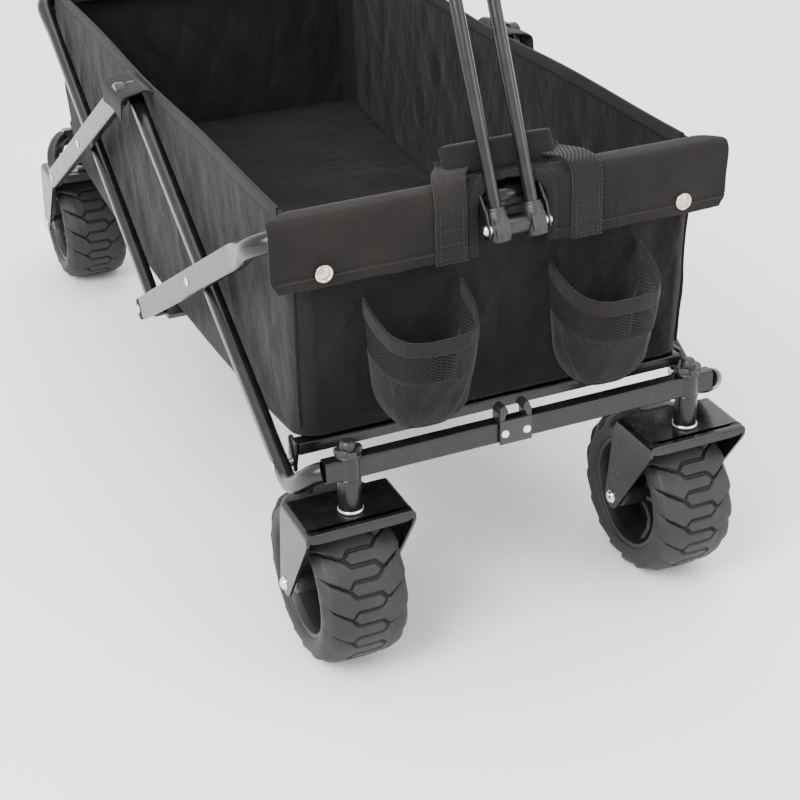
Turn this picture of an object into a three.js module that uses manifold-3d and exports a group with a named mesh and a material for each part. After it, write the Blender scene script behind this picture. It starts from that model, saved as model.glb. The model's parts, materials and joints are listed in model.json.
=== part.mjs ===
// A folding four-wheeled beach cart. Millimetres, +Z up, front of the cart towards -Y, +X to its left side.
// Two rows of crossed links fold it lengthwise: each side has a front cell and a rear cell, and the cloth
// bag hangs between them. The wide front wheels are casters, and the handle slides out and swings down.
import * as THREE from 'three';
import { mergeVertices } from 'three/addons/utils/BufferGeometryUtils.js';
import Module from 'manifold-3d';

const wasm = await Module();
wasm.setup();

// ---- Driving dimensions -------------------------------------------------------------------------------

const CLEARANCE = 0.3;          // between pieces that touch or turn on each other
const PIVOT_CLEARANCE = 0.4;    // round a rivet or pin, on the radius

// Wheels, forks and posts
const WHEEL_RADIUS = 88;
const TYRE_WIDTH = 87;
const RIM_RADIUS = 58;
const RIM_WIDTH = 72;
const HUB_RADIUS = 13;
const AXLE_RADIUS = 4.5;
const FRONT_TRAIL = 44.5;       // axle behind the post
const REAR_TRAIL = 52;
const TYRE_TO_PLATE = 4;        // tyre top to the fork's plate
const TYRE_TO_LEG = 8.5;        // tyre side to the fork's leg
const FORK_STEEL = 3;
const FORK_FRONT = 27;          // the plate ahead of the post
const FORK_REAR = 38;           // and behind it
const FORK_LIP = 11;
const FORK_EYE_RADIUS = 13;
const POST_INSIDE_LINK = 42;     // across, from the inner links' middle to a post
const FRONT_POST_OUT = 70.93;    // along, from the floor pivots to a post
const REAR_POST_OUT = 78.93;
const POST_RADIUS = 11.3;
const POST_BORE = 6.3;
const STEM_RADIUS = 5;
const WASHER_RADIUS = 12.6;
const WASHER_THICKNESS = 3.6;
const POST_ABOVE_BAR = 0.5;     // the post stands this much above its crossbar
const CAP_RADIUS = 13.2;
const CAP_HEIGHT = 9;
const CAP_DOME = 7;

// Frame links: a rhombus of equal links on each half of each side
const LINK_TILT = THREE.MathUtils.degToRad(29.4);
const LINK_LENGTH = 261.7;      // pivot to pivot
const MIDDLE_PIVOT_ABOVE_PLATE = 6.2; // above the forks' plates
const RAIL_SHORT = 1;           // the top rail is this much nearer than the top pivot
const SUPPORT_SHORT = 30.9;     // the floor pivot is this much nearer than a full link
const OUTER_FACE_X = 244;       // outer face of the outer links
const FLAT_THICKNESS = 11;      // outer links are pressed flat
const FLAT_WIDTH = 26;
const OVAL_THICKNESS = 16;      // inner links are flat-sided ovals
const OVAL_WIDTH = 19;
const LINK_WASHER = 2;          // between outer and inner links
const TUBE_RADIUS = 10;         // where the tube stays round
const LINK_END = 14;            // tube beyond its last pivot
const RAIL_BEND_RADIUS = 30;
const RIVET_RADIUS = 3.2;
const RIVET_HEAD_RADIUS = 5.2;
const RIVET_HEAD_HEIGHT = 2.2;

// Crossbars between the posts, and the floor bars
const CROSSBAR_ABOVE_PLATE = 47; // the bar's middle, above the forks' plates
const CROSSBAR_OVERHANG = 25;   // beyond each post
const CROSSBAR_HEIGHT = 22;
const CROSSBAR_DEPTH = 15;
const SPIGOT_RADIUS = 4.5;
const SPIGOT_LENGTH = 14;
const FLOOR_BAR_HEIGHT = 17;
const FLOOR_BAR_DEPTH = 13;
const FLOOR_BAR_RISE = 20;      // bar above its pivots
const FLOOR_BAR_SET = 7;        // bar outwards of its pivots
const FLOOR_LEG_THICKNESS = 5;
const MIDDLE_BAR_RADIUS = 8;
const KNUCKLE_LENGTH = 24;
const KNUCKLE_RADIUS = 10;
const KNUCKLE_SPACING = 20;

// Clip for the folded handle, on the front crossbar
const CLIP_X = -14;
const CLIP_WIDTH = 34;
const CLIP_GAP = 22;
const CLIP_HORN = 16;
const CLIP_FLOOR = 2.5;
const CLIP_BARB = 3;
const CLIP_PLATE = 3.5;         // in front of the crossbar

// Handle
const RAIL_TO_HANDLE_TUBE = 11.3; // level gap, from the front rail to the tubes' line
const HANDLE_PIVOT_BELOW = 18;
const HANDLE_LEAN = THREE.MathUtils.degToRad(25);
const HANDLE_SPACING = 37;
const HANDLE_TUBE_RADIUS = 6.2;
const HANDLE_TUBE_BORE = 5;
const HANDLE_TUBE_LENGTH = 400;
const SOCKET_RADIUS = 10;
const SOCKET_LENGTH = 31;
const SOCKET_BELOW = 13;
const SPACER_RADIUS = 7.5;
const BRACKET_STEEL = 2.5;
const BRACKET_TO_SOCKET = 0.6;
const HANDLE_BOLT_RADIUS = 3;
const HANDLE_BOLT_HEAD = 5;
const COLLAR_LENGTH = 46;
const SLIDER_RADIUS = 4.4;
const SLIDER_HIDDEN = 170;      // how far the slider reaches into the lower tubes
const SLIDER_SHOWN = 90;
const GRIP_LENGTH = 118;
const GRIP_RADIUS = 15;

// Cloth parts
const BAG_TO_LINK = 7;          // side panel to the inner links
const BAG_ABOVE_PIVOT = 15.9;   // side panels' top, above the top pivots
const BAG_END_UNDER_RAIL = 7.7; // end panels' top, below the rails' underside
const BAG_PAST_RAIL = 3;        // end panels' top, outwards of the rails' middle
const BAG_PAST_SUPPORT = 18;    // end panels' foot, outwards of the floor pivots
const BAG_ABOVE_FLOOR_BAR = 5.1;
const BAG_ABOVE_MIDDLE_BAR = 8.8;
const BAG_NOTCH = 21;           // side panels stop short of the rails
const CLOTH = 3.6;
const FLAP_CLOTH = 2.6;
const FLAP_TO_BEND = 1.5;       // the flap's stiff part ends before the rail's bends
const FLAP_SKIRT = 46;          // below the rail's middle, outside
const FLAP_TURN = 15;           // below the rail's middle, inside
const POCKET_PLACE = 0.2624;     // pocket's middle from the cart's, as a share of the posts' spacing
const POCKET_SHARE = 0.2735;     // pocket's width, as the same share
const POCKET_ABOVE_FLOOR = 6.5;
const POCKET_BELOW_FLAP = 37.6;
const POCKET_FRONT_CORNER = 34; // where the pocket's front starts to round, from its face
const POCKET_SIDE_CORNER = 28;  // and from its side
const POCKET_DEPTH = 72;
const POCKET_CLOTH = 3;
const STRAP_X = 70;
const STRAP_WIDTH = 32;
const STRAP_THICKNESS = 4;
const WRAP_BEHIND_RAIL = 19;
const WRAP_LENGTH = 121;
const WRAP_HEIGHT = 38;
const WRAP_DEPTH = 22;

// ---- Worked-out places --------------------------------------------------------------------------------

const WHEEL_TO_PLATE_Z = 2 * WHEEL_RADIUS + TYRE_TO_PLATE;
const PLATE_TOP_Z = WHEEL_TO_PLATE_Z + FORK_STEEL;
const CROSSBAR_Z = PLATE_TOP_Z + CROSSBAR_ABOVE_PLATE;
const MIDDLE_PIVOT_Z = PLATE_TOP_Z + MIDDLE_PIVOT_ABOVE_PLATE;
const WASHER_TOP_Z = PLATE_TOP_Z + CLEARANCE + WASHER_THICKNESS;
const POST_TOP_Z = CROSSBAR_Z + CROSSBAR_HEIGHT / 2 + POST_ABOVE_BAR;
const LEG_INSIDE_X = TYRE_WIDTH / 2 + TYRE_TO_LEG;
const CROSSING_Y = LINK_LENGTH * Math.cos(LINK_TILT);
const CROSSING_Z = MIDDLE_PIVOT_Z + LINK_LENGTH * Math.sin(LINK_TILT);
const TOP_PIVOT_Z = MIDDLE_PIVOT_Z + 2 * LINK_LENGTH * Math.sin(LINK_TILT);
const OUTER_X = OUTER_FACE_X - FLAT_THICKNESS / 2;
const INNER_FACE_X = OUTER_FACE_X - FLAT_THICKNESS - LINK_WASHER;
const INNER_X = INNER_FACE_X - OVAL_THICKNESS / 2;
const POST_SPACING = 2 * (INNER_X - POST_INSIDE_LINK);
const CROSSBAR_LENGTH = POST_SPACING + 2 * CROSSBAR_OVERHANG;
const RAIL_FROM_MIDDLE = 2 * LINK_LENGTH - RAIL_SHORT;
const RAIL_Y = RAIL_FROM_MIDDLE * Math.cos(LINK_TILT);
const RAIL_Z = MIDDLE_PIVOT_Z + RAIL_FROM_MIDDLE * Math.sin(LINK_TILT);
const SUPPORT_PIVOT = LINK_LENGTH - SUPPORT_SHORT;
const SUPPORT_Y = CROSSING_Y + SUPPORT_PIVOT * Math.cos(LINK_TILT);
const SUPPORT_Z = CROSSING_Z - SUPPORT_PIVOT * Math.sin(LINK_TILT);
const FRONT_POST_Y = -SUPPORT_Y - FRONT_POST_OUT;
const REAR_POST_Y = SUPPORT_Y + REAR_POST_OUT;
const BAG_HALF_WIDTH = INNER_FACE_X - OVAL_THICKNESS - BAG_TO_LINK;
const BAG_TOP_Z = TOP_PIVOT_Z + BAG_ABOVE_PIVOT;
const BAG_END_Z = RAIL_Z - TUBE_RADIUS - BAG_END_UNDER_RAIL;
const BAG_FLOOR_END_Z = SUPPORT_Z + FLOOR_BAR_RISE + FLOOR_BAR_HEIGHT / 2 + BAG_ABOVE_FLOOR_BAR;
const BAG_FLOOR_MIDDLE_Z = MIDDLE_PIVOT_Z + MIDDLE_BAR_RADIUS + BAG_ABOVE_MIDDLE_BAR;
const BAG_TOP_LENGTH = 2 * (RAIL_Y + BAG_PAST_RAIL);
const BAG_FLOOR_LENGTH = 2 * (SUPPORT_Y + BAG_PAST_SUPPORT);
const POCKET_X = POST_SPACING * POCKET_PLACE;
const POCKET_WIDTH = POST_SPACING * POCKET_SHARE;
const POCKET_BOTTOM_Z = BAG_FLOOR_END_Z + POCKET_ABOVE_FLOOR;
const POCKET_TOP_Z = RAIL_Z - FLAP_SKIRT - POCKET_BELOW_FLAP;
const HANDLE_PIVOT_AHEAD = TUBE_RADIUS + HANDLE_TUBE_RADIUS + RAIL_TO_HANDLE_TUBE;
const HANDLE_Y = -RAIL_Y - HANDLE_PIVOT_AHEAD;
const HANDLE_Z = RAIL_Z - HANDLE_PIVOT_BELOW;
const FRONT_END_Y = FRONT_POST_Y + FRONT_TRAIL - WHEEL_RADIUS;
const REAR_END_Y = REAR_POST_Y + REAR_TRAIL + WHEEL_RADIUS;

// ---- Materials ----------------------------------------------------------------------------------------

const paint = (color, roughness, metalness) =>
  new THREE.MeshStandardMaterial({ color, roughness, metalness });
const MATERIALS = {
  steel: () => paint(0x1d1b1a, 0.35, 0.6),
  chrome: () => paint(0xc9c7c3, 0.2, 1),
  plastic: () => paint(0x232120, 0.55, 0),
  rubber: () => paint(0x2a2827, 0.85, 0),
  cloth: () => paint(0x2c2a28, 0.9, 0),
};

const cart = new THREE.Group();
cart.position.y = -(FRONT_END_Y + REAR_END_Y) / 2;

function add(name, geometry, material) {
  const mesh = new THREE.Mesh(geometry, MATERIALS[material]());
  mesh.name = name;
  cart.add(mesh);
}

// ---- Solids: joining and cutting ----------------------------------------------------------------------

function toSolid(geometry) {
  const bare = geometry.clone();
  bare.deleteAttribute('normal');
  bare.deleteAttribute('uv');
  const merged = mergeVertices(bare, 1e-4);
  return new wasm.Manifold(new wasm.Mesh({
    numProp: 3,
    vertProperties: new Float32Array(merged.attributes.position.array),
    triVerts: new Uint32Array(merged.index.array),
  }));
}

function toGeometry(solid) {
  const mesh = solid.getMesh();
  const geometry = new THREE.BufferGeometry();
  geometry.setAttribute('position', new THREE.BufferAttribute(mesh.vertProperties, 3));
  geometry.setIndex(new THREE.BufferAttribute(mesh.triVerts, 1));
  return geometry;
}

function join(first, ...others) {
  return toGeometry(others.reduce((sum, other) => sum.add(toSolid(other)), toSolid(first)));
}

function cut(body, ...tools) {
  return toGeometry(tools.reduce((rest, tool) => rest.subtract(toSolid(tool)), toSolid(body)));
}

// ---- Shapes -------------------------------------------------------------------------------------------

function box(x0, x1, y0, y1, z0, z1) {
  const geometry = new THREE.BoxGeometry(x1 - x0, y1 - y0, z1 - z0);
  return geometry.translate((x0 + x1) / 2, (y0 + y1) / 2, (z0 + z1) / 2);
}

// A solid of revolution about X through (y, z). The profile holds [x, radius] points.
function turnedAboutX(profile, y, z, segments = 16) {
  const points = profile.map(([x, radius]) => new THREE.Vector2(radius, x));
  return new THREE.LatheGeometry(points, segments).rotateZ(-Math.PI / 2).translate(0, y, z);
}

// A solid of revolution about a vertical line through (x, y). The profile holds [z, radius] points.
function turnedAboutZ(profile, x, y, segments = 16) {
  const points = profile.map(([z, radius]) => new THREE.Vector2(radius, z));
  return new THREE.LatheGeometry(points, segments).rotateX(Math.PI / 2).translate(x, y, 0);
}

const rodAlongX = (x0, x1, radius, y, z, segments = 12) =>
  turnedAboutX([[x0, 0], [x0, radius], [x1, radius], [x1, 0]], y, z, segments);
const rodAlongZ = (z0, z1, radius, x, y, segments = 12) =>
  turnedAboutZ([[z0, 0], [z0, radius], [z1, radius], [z1, 0]], x, y, segments);

// An outline in the YZ plane carried along X from x0 to x1.
function plateAcross(shape, x0, x1, curveSegments = 8) {
  const geometry = new THREE.ExtrudeGeometry(shape, { depth: x1 - x0, bevelEnabled: false, curveSegments });
  const swap = new THREE.Matrix4().set(0, 0, 1, x0, 1, 0, 0, 0, 0, 1, 0, 0, 0, 0, 0, 1);
  return geometry.applyMatrix4(swap);
}

function polygon(points) {
  return new THREE.Shape(points.map(([a, b]) => new THREE.Vector2(a, b)));
}

const CORNER_STEPS = 2;

// A rounded rectangle, as [across, up] points round a tube's middle line.
function roundedSection(halfAcross, halfUp, radius) {
  const points = [];
  for (let corner = 0; corner < 4; corner += 1) {
    const signA = corner === 0 || corner === 3 ? 1 : -1;
    const signU = corner < 2 ? 1 : -1;
    for (let step = 0; step <= CORNER_STEPS; step += 1) {
      const angle = (corner + step / CORNER_STEPS) * Math.PI / 2;
      const across = signA * (halfAcross - radius) + radius * Math.cos(angle);
      const up = signU * (halfUp - radius) + radius * Math.sin(angle);
      points.push([across, up]);
    }
  }
  return points;
}

// Carries a section along a list of points. Each station's up is kept square to its run, so the flat faces
// stay in the plane that the tube was bent in.
function sweptTube(points, up, sectionAt) {
  const last = points.length - 1;
  const positions = [];
  const count = sectionAt(0).length;
  points.forEach((point, i) => {
    const along = points[Math.min(i + 1, last)].clone().sub(points[Math.max(i - 1, 0)]).normalize();
    const squareUp = up.clone().addScaledVector(along, -up.dot(along)).normalize();
    const across = squareUp.clone().cross(along);
    sectionAt(i).forEach(([a, b]) => {
      const corner = point.clone().addScaledVector(across, a).addScaledVector(squareUp, b);
      positions.push(corner.x, corner.y, corner.z);
    });
  });
  [points[0], points[last]].forEach((end) => positions.push(end.x, end.y, end.z));
  const index = [];
  for (let i = 0; i < last; i += 1) {
    for (let k = 0; k < count; k += 1) {
      const a = i * count + k;
      const b = i * count + (k + 1) % count;
      index.push(a, b, b + count, a, b + count, a + count);
    }
  }
  const startCentre = points.length * count;
  for (let k = 0; k < count; k += 1) {
    index.push(startCentre, (k + 1) % count, k);
    index.push(startCentre + 1, last * count + k, last * count + (k + 1) % count);
  }
  const geometry = new THREE.BufferGeometry();
  geometry.setAttribute('position', new THREE.Float32BufferAttribute(positions, 3));
  geometry.setIndex(index);
  return geometry;
}

// Points at a distance along a polyline whose corners are rounded to a radius.
function roundedPath(corners, radius, stepsPerBend) {
  const points = [corners[0].clone()];
  for (let i = 1; i < corners.length - 1; i += 1) {
    const before = corners[i - 1].clone().sub(corners[i]).normalize();
    const after = corners[i + 1].clone().sub(corners[i]).normalize();
    const half = before.angleTo(after) / 2;
    const setback = radius / Math.tan(half);
    const inward = before.clone().add(after).normalize();
    const centre = corners[i].clone().addScaledVector(inward, radius / Math.sin(half));
    const start = corners[i].clone().addScaledVector(before, setback).sub(centre);
    const end = corners[i].clone().addScaledVector(after, setback).sub(centre);
    const turn = start.angleTo(end);
    const axis = start.clone().cross(end).normalize();
    for (let step = 0; step <= stepsPerBend; step += 1) {
      const spoke = start.clone().applyAxisAngle(axis, turn * step / stepsPerBend);
      points.push(centre.clone().add(spoke));
    }
  }
  points.push(corners[corners.length - 1].clone());
  return points;
}

// ---- Wheels, forks and posts --------------------------------------------------------------------------

function tyre(x, y) {
  const half = TYRE_WIDTH / 2;
  const bore = RIM_RADIUS + CLEARANCE;
  const profile = [
    [-half + 6, bore], [-half + 1, bore + 6], [-half, WHEEL_RADIUS - 16], [-half + 6, WHEEL_RADIUS - 4],
    [-half + 20, WHEEL_RADIUS], [half - 20, WHEEL_RADIUS], [half - 6, WHEEL_RADIUS - 4],
    [half, WHEEL_RADIUS - 16], [half - 1, bore + 6], [half - 6, bore], [-half + 6, bore],
  ];
  return turnedAboutX(profile, y, WHEEL_RADIUS, 32).translate(x, 0, 0);
}

function hub(x, y) {
  const rim = RIM_WIDTH / 2;
  const wall = 3.5;
  const web = 5;
  const boss = LEG_INSIDE_X - 6;
  const bore = AXLE_RADIUS + CLEARANCE;
  const profile = [
    [-rim, RIM_RADIUS], [-rim, RIM_RADIUS - wall], [-web, RIM_RADIUS - wall], [-web, HUB_RADIUS],
    [-boss, HUB_RADIUS], [-boss, bore], [boss, bore], [boss, HUB_RADIUS], [web, HUB_RADIUS],
    [web, RIM_RADIUS - wall], [rim, RIM_RADIUS - wall], [rim, RIM_RADIUS], [-rim, RIM_RADIUS],
  ];
  return turnedAboutX(profile.reverse(), y, WHEEL_RADIUS, 20).translate(x, 0, 0);
}

function axle(x, y) {
  const leg = LEG_INSIDE_X + FORK_STEEL + CLEARANCE;
  const head = leg + 3.6;
  const profile = [
    [-head, 0], [-head, 3.5], [-leg - 1.4, 6.4], [-leg, 6.6], [-leg, AXLE_RADIUS],
    [leg, AXLE_RADIUS], [leg, 6.6], [leg + 1.4, 6.4], [head, 3.5], [head, 0],
  ];
  return turnedAboutX(profile, y, WHEEL_RADIUS, 12).translate(x, 0, 0);
}

// The fork's side: from the plate's full depth down to a round eye at the axle.
function forkLegOutline(trail) {
  const eyeZ = WHEEL_RADIUS;
  const shape = new THREE.Shape();
  shape.moveTo(FORK_REAR, PLATE_TOP_Z);
  shape.lineTo(-FORK_FRONT, PLATE_TOP_Z);
  shape.lineTo(-FORK_FRONT, PLATE_TOP_Z - FORK_LIP);
  shape.absarc(trail, eyeZ, FORK_EYE_RADIUS, Math.PI * 1.15, Math.PI * 2, false);
  shape.lineTo(FORK_REAR + 8, PLATE_TOP_Z - FORK_LIP);
  return shape;
}

function fork(x, postY, trail) {
  const inside = LEG_INSIDE_X;
  const outside = inside + FORK_STEEL;
  const plate = box(-outside, outside, -FORK_FRONT, FORK_REAR, WHEEL_TO_PLATE_Z, PLATE_TOP_Z);
  const lipBack = -FORK_FRONT + FORK_STEEL;
  const lip = box(-outside, outside, -FORK_FRONT, lipBack, PLATE_TOP_Z - FORK_LIP, PLATE_TOP_Z);
  const legs = [-1, 1].map((side) => {
    const near = side < 0 ? -outside : inside;
    return plateAcross(forkLegOutline(trail), near, near + FORK_STEEL);
  });
  const stem = rodAlongZ(WHEEL_TO_PLATE_Z, POST_TOP_Z - 4, STEM_RADIUS, 0, 0);
  const body = join(plate, lip, ...legs, stem);
  const eyes = rodAlongX(-outside - 1, outside + 1, AXLE_RADIUS + CLEARANCE, trail, WHEEL_RADIUS);
  return cut(body, eyes).translate(x, postY, 0);
}

function washer(x, y) {
  const bottom = PLATE_TOP_Z + CLEARANCE;
  const bore = STEM_RADIUS + CLEARANCE;
  const profile = [
    [bottom, bore], [bottom, WASHER_RADIUS], [bottom + 2, WASHER_RADIUS],
    [WASHER_TOP_Z, WASHER_RADIUS - 1.4], [WASHER_TOP_Z, bore], [bottom, bore],
  ];
  return turnedAboutZ(profile, x, y);
}

function postCap(x, y) {
  const bottom = POST_TOP_Z + CLEARANCE;
  const lobes = new THREE.Shape();
  const lobeCount = 4;
  const steps = 24;
  for (let i = 0; i < steps; i += 1) {
    const angle = i / steps * Math.PI * 2;
    const radius = CAP_RADIUS + 1.3 * Math.cos(lobeCount * angle);
    const point = [radius * Math.cos(angle), radius * Math.sin(angle)];
    if (i === 0) lobes.moveTo(...point);
    else lobes.lineTo(...point);
  }
  const disc = new THREE.ExtrudeGeometry(lobes, { depth: CAP_HEIGHT, bevelEnabled: false });
  disc.translate(0, 0, bottom);
  const top = bottom + CAP_HEIGHT;
  const domeLine = [[top - 1, 0], [top - 1, 7], [top + 4, 6.6], [top + CAP_DOME, 4], [top + CAP_DOME, 0]];
  const dome = turnedAboutZ(domeLine, 0, 0, 12);
  return join(disc, dome).translate(x, y, 0);
}

// ---- Crossbars with their posts -----------------------------------------------------------------------

function crossbar(y) {
  const half = CROSSBAR_LENGTH / 2;
  const depth = CROSSBAR_DEPTH / 2;
  const height = CROSSBAR_HEIGHT / 2;
  const ends = [new THREE.Vector3(-half, y, CROSSBAR_Z), new THREE.Vector3(half, y, CROSSBAR_Z)];
  const up = new THREE.Vector3(0, 0, 1);
  const bar = sweptTube(ends, up, () => roundedSection(depth, height, 3));
  const posts = [];
  const holes = [];
  [-1, 1].forEach((side) => {
    const x = side * POST_SPACING / 2;
    const low = WASHER_TOP_Z + CLEARANCE;
    posts.push(rodAlongZ(low, POST_TOP_Z, POST_RADIUS, x, y, 20));
    holes.push(rodAlongZ(low - 1, POST_TOP_Z + 1, POST_BORE, x, y));
    const mouth = side * (half + 1);
    const deep = side * (half - SPIGOT_LENGTH - 1);
    const bore = SPIGOT_RADIUS + PIVOT_CLEARANCE;
    holes.push(rodAlongX(Math.min(mouth, deep), Math.max(mouth, deep), bore, y, CROSSBAR_Z));
  });
  return cut(join(bar, ...posts), ...holes);
}

// ---- Links --------------------------------------------------------------------------------------------

const LINK_UP = new THREE.Vector3(0, Math.sin(LINK_TILT), Math.cos(LINK_TILT));

// Sections blend from a flat link to the round tube over a short run.
function blendSection(share, halfAcross, halfUp, cornerRadius) {
  const mix = (flat) => THREE.MathUtils.lerp(flat, TUBE_RADIUS, share);
  return roundedSection(mix(halfAcross), mix(halfUp), mix(cornerRadius));
}

// A top rail: a bent tube from one middle pivot, up the leg, across inside the flap and back down.
function topRail(x, halfAcross, halfUp, cornerRadius) {
  const low = -LINK_END;
  const place = (side, along) => new THREE.Vector3(
    side * x, -along * Math.cos(LINK_TILT), MIDDLE_PIVOT_Z + along * Math.sin(LINK_TILT));
  const corners = [place(-1, low), place(-1, RAIL_FROM_MIDDLE), place(1, RAIL_FROM_MIDDLE), place(1, low)];
  const bends = roundedPath(corners, RAIL_BEND_RADIUS, 8);
  const roundFrom = RAIL_FROM_MIDDLE - RAIL_BEND_RADIUS - 6;
  const flatTo = roundFrom - 46;
  const blendSteps = 3;
  const points = [bends[0]];
  const shares = [0];
  for (let i = 0; i <= blendSteps; i += 1) {
    points.push(place(-1, THREE.MathUtils.lerp(flatTo, roundFrom, i / blendSteps)));
    shares.push(THREE.MathUtils.smoothstep(i / blendSteps, 0, 1));
  }
  bends.slice(1, -1).forEach((point) => {
    points.push(point);
    shares.push(1);
  });
  for (let i = blendSteps; i >= 0; i -= 1) {
    points.push(place(1, THREE.MathUtils.lerp(flatTo, roundFrom, i / blendSteps)));
    shares.push(THREE.MathUtils.smoothstep(i / blendSteps, 0, 1));
  }
  points.push(bends[bends.length - 1]);
  shares.push(0);
  return sweptTube(points, LINK_UP, (i) => blendSection(shares[i], halfAcross, halfUp, cornerRadius));
}

// A lower leg, from above the top pivot down past its crossing to the crossbar's end. Its last stretch
// curves level and inwards, and stays round.
function lowerLeg(x, postY, halfAcross, halfUp, cornerRadius) {
  const place = (along) => new THREE.Vector3(
    x, -CROSSING_Y - along * Math.cos(LINK_TILT), CROSSING_Z - along * Math.sin(LINK_TILT));
  const straightTo = SUPPORT_PIVOT + 8;
  const end = new THREE.Vector3(CROSSBAR_LENGTH / 2 + CLEARANCE, -Math.abs(postY), CROSSBAR_Z);
  const level = end.clone().setX(end.x + 3);
  const nearBar = level.clone().setX(x + 2);
  const bend = new THREE.CubicBezierCurve3(place(straightTo), place(straightTo + 38), nearBar, level);
  const points = [place(-LINK_LENGTH - LINK_END), place(straightTo)];
  const shares = [0, 0];
  const steps = 10;
  for (let i = 1; i <= steps; i += 1) {
    points.push(bend.getPoint(i / steps));
    shares.push(Math.min(1, i / 4));
  }
  points.push(end);
  shares.push(1);
  const section = (i) => blendSection(shares[i], halfAcross, halfUp, cornerRadius);
  const tube = sweptTube(points, new THREE.Vector3(0, -Math.sin(LINK_TILT), Math.cos(LINK_TILT)), section);
  const spigot = rodAlongX(end.x - SPIGOT_LENGTH, end.x + 3, SPIGOT_RADIUS, end.y, end.z);
  return join(tube, spigot);
}

const turned = (geometry) => geometry.rotateZ(Math.PI);
function mirrored(geometry) {
  const flipped = geometry.clone().applyMatrix4(new THREE.Matrix4().makeScale(-1, 1, 1));
  const index = flipped.index.array;
  for (let i = 0; i < index.length; i += 3) [index[i], index[i + 1]] = [index[i + 1], index[i]];
  return flipped;
}

const RIVET_DEPTH_X = INNER_FACE_X - OVAL_THICKNESS + 2;   // rivets stop inside the inner link
const RIVET_HOLE = RIVET_RADIUS + PIVOT_CLEARANCE;

function rivetHole(side, y, z, x0, x1) {
  const [low, high] = side > 0 ? [x0, x1] : [-x1, -x0];
  return rodAlongX(low, high, RIVET_HOLE, y, z);
}

function rivet(side, y, z, x0, faceX) {
  const seat = faceX + CLEARANCE;
  const top = seat + RIVET_HEAD_HEIGHT;
  const profile = [
    [x0, 0], [x0, RIVET_RADIUS], [seat, RIVET_RADIUS], [seat, RIVET_HEAD_RADIUS],
    [seat + 0.9, RIVET_HEAD_RADIUS], [top, RIVET_HEAD_RADIUS * 0.55], [top, 0],
  ];
  const placed = side > 0 ? profile : profile.map(([x, r]) => [-x, r]).reverse();
  return turnedAboutX(placed, y, z, 12);
}

const bothSides = [-1, 1];
const SIDE_NAME = { '-1': 'right', 1: 'left' };

// ---- Front and rear rails -----------------------------------------------------------------------------

const flatLink = [FLAT_THICKNESS / 2, FLAT_WIDTH / 2, FLAT_THICKNESS / 2 - 0.2];
const ovalLink = [OVAL_THICKNESS / 2, OVAL_WIDTH / 2, 6];

function holesFor(list) {
  const near = RIVET_DEPTH_X - CLEARANCE;
  const far = OUTER_FACE_X + 5;
  return bothSides.flatMap((side) => list.map(([y, z]) => rivetHole(side, y, z, near, far)));
}

const middlePivot = [0, MIDDLE_PIVOT_Z];
const frontRail = topRail(OUTER_X, ...flatLink);
add('front_rail', cut(frontRail, ...holesFor([middlePivot, [-CROSSING_Y, CROSSING_Z]])), 'steel');
const rearRail = turned(topRail(INNER_X, ...ovalLink));
add('rear_rail', cut(rearRail, ...holesFor([middlePivot, [CROSSING_Y, CROSSING_Z]])), 'steel');

// ---- Lower legs ---------------------------------------------------------------------------------------

function frontLeg() {
  const tube = lowerLeg(INNER_X, FRONT_POST_Y, ...ovalLink);
  const pin = rodAlongX(INNER_X, OUTER_FACE_X + 1.6, RIVET_RADIUS, 0, TOP_PIVOT_Z);
  const crossing = rivetHole(1, -CROSSING_Y, CROSSING_Z, RIVET_DEPTH_X - CLEARANCE, OUTER_FACE_X);
  const support = rivetHole(1, -SUPPORT_Y, SUPPORT_Z, INNER_X - 20, INNER_FACE_X + 8);
  return cut(join(tube, pin), crossing, support);
}

function rearLeg() {
  const tube = mirrored(lowerLeg(OUTER_X, REAR_POST_Y, ...flatLink));
  turned(tube);
  const top = rivetHole(1, 0, TOP_PIVOT_Z, INNER_FACE_X, OUTER_FACE_X + 8);
  const crossing = rivetHole(1, CROSSING_Y, CROSSING_Z, INNER_FACE_X, OUTER_FACE_X + 8);
  const support = rivetHole(1, SUPPORT_Y, SUPPORT_Z, OUTER_X - 20, OUTER_FACE_X + 8);
  return cut(tube, top, crossing, support);
}

const legs = { front: frontLeg(), rear: rearLeg() };
for (const end of ['front', 'rear']) {
  add(`${end}_leg_left`, legs[end], 'steel');
  add(`${end}_leg_right`, mirrored(legs[end]), 'steel');
}

// ---- Rivets -------------------------------------------------------------------------------------------

for (const side of bothSides) {
  const name = SIDE_NAME[side];
  add(`rivet_middle_${name}`, rivet(side, 0, MIDDLE_PIVOT_Z, RIVET_DEPTH_X, OUTER_FACE_X), 'chrome');
  const crossing = (y) => rivet(side, y, CROSSING_Z, RIVET_DEPTH_X, OUTER_FACE_X);
  add(`rivet_front_crossing_${name}`, crossing(-CROSSING_Y), 'chrome');
  add(`rivet_rear_crossing_${name}`, crossing(CROSSING_Y), 'chrome');
  const frontLegInside = INNER_X - TUBE_RADIUS - FLOOR_LEG_THICKNESS - 1.5;
  const frontSupport = rivet(side, -SUPPORT_Y, SUPPORT_Z, frontLegInside, INNER_FACE_X);
  add(`rivet_front_support_${name}`, frontSupport, 'chrome');
  const rearLegInside = OUTER_X - TUBE_RADIUS - FLOOR_LEG_THICKNESS - 1.5;
  add(`rivet_rear_support_${name}`, rivet(side, SUPPORT_Y, SUPPORT_Z, rearLegInside, OUTER_FACE_X), 'chrome');
}

// ---- Floor bars ---------------------------------------------------------------------------------------

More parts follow.
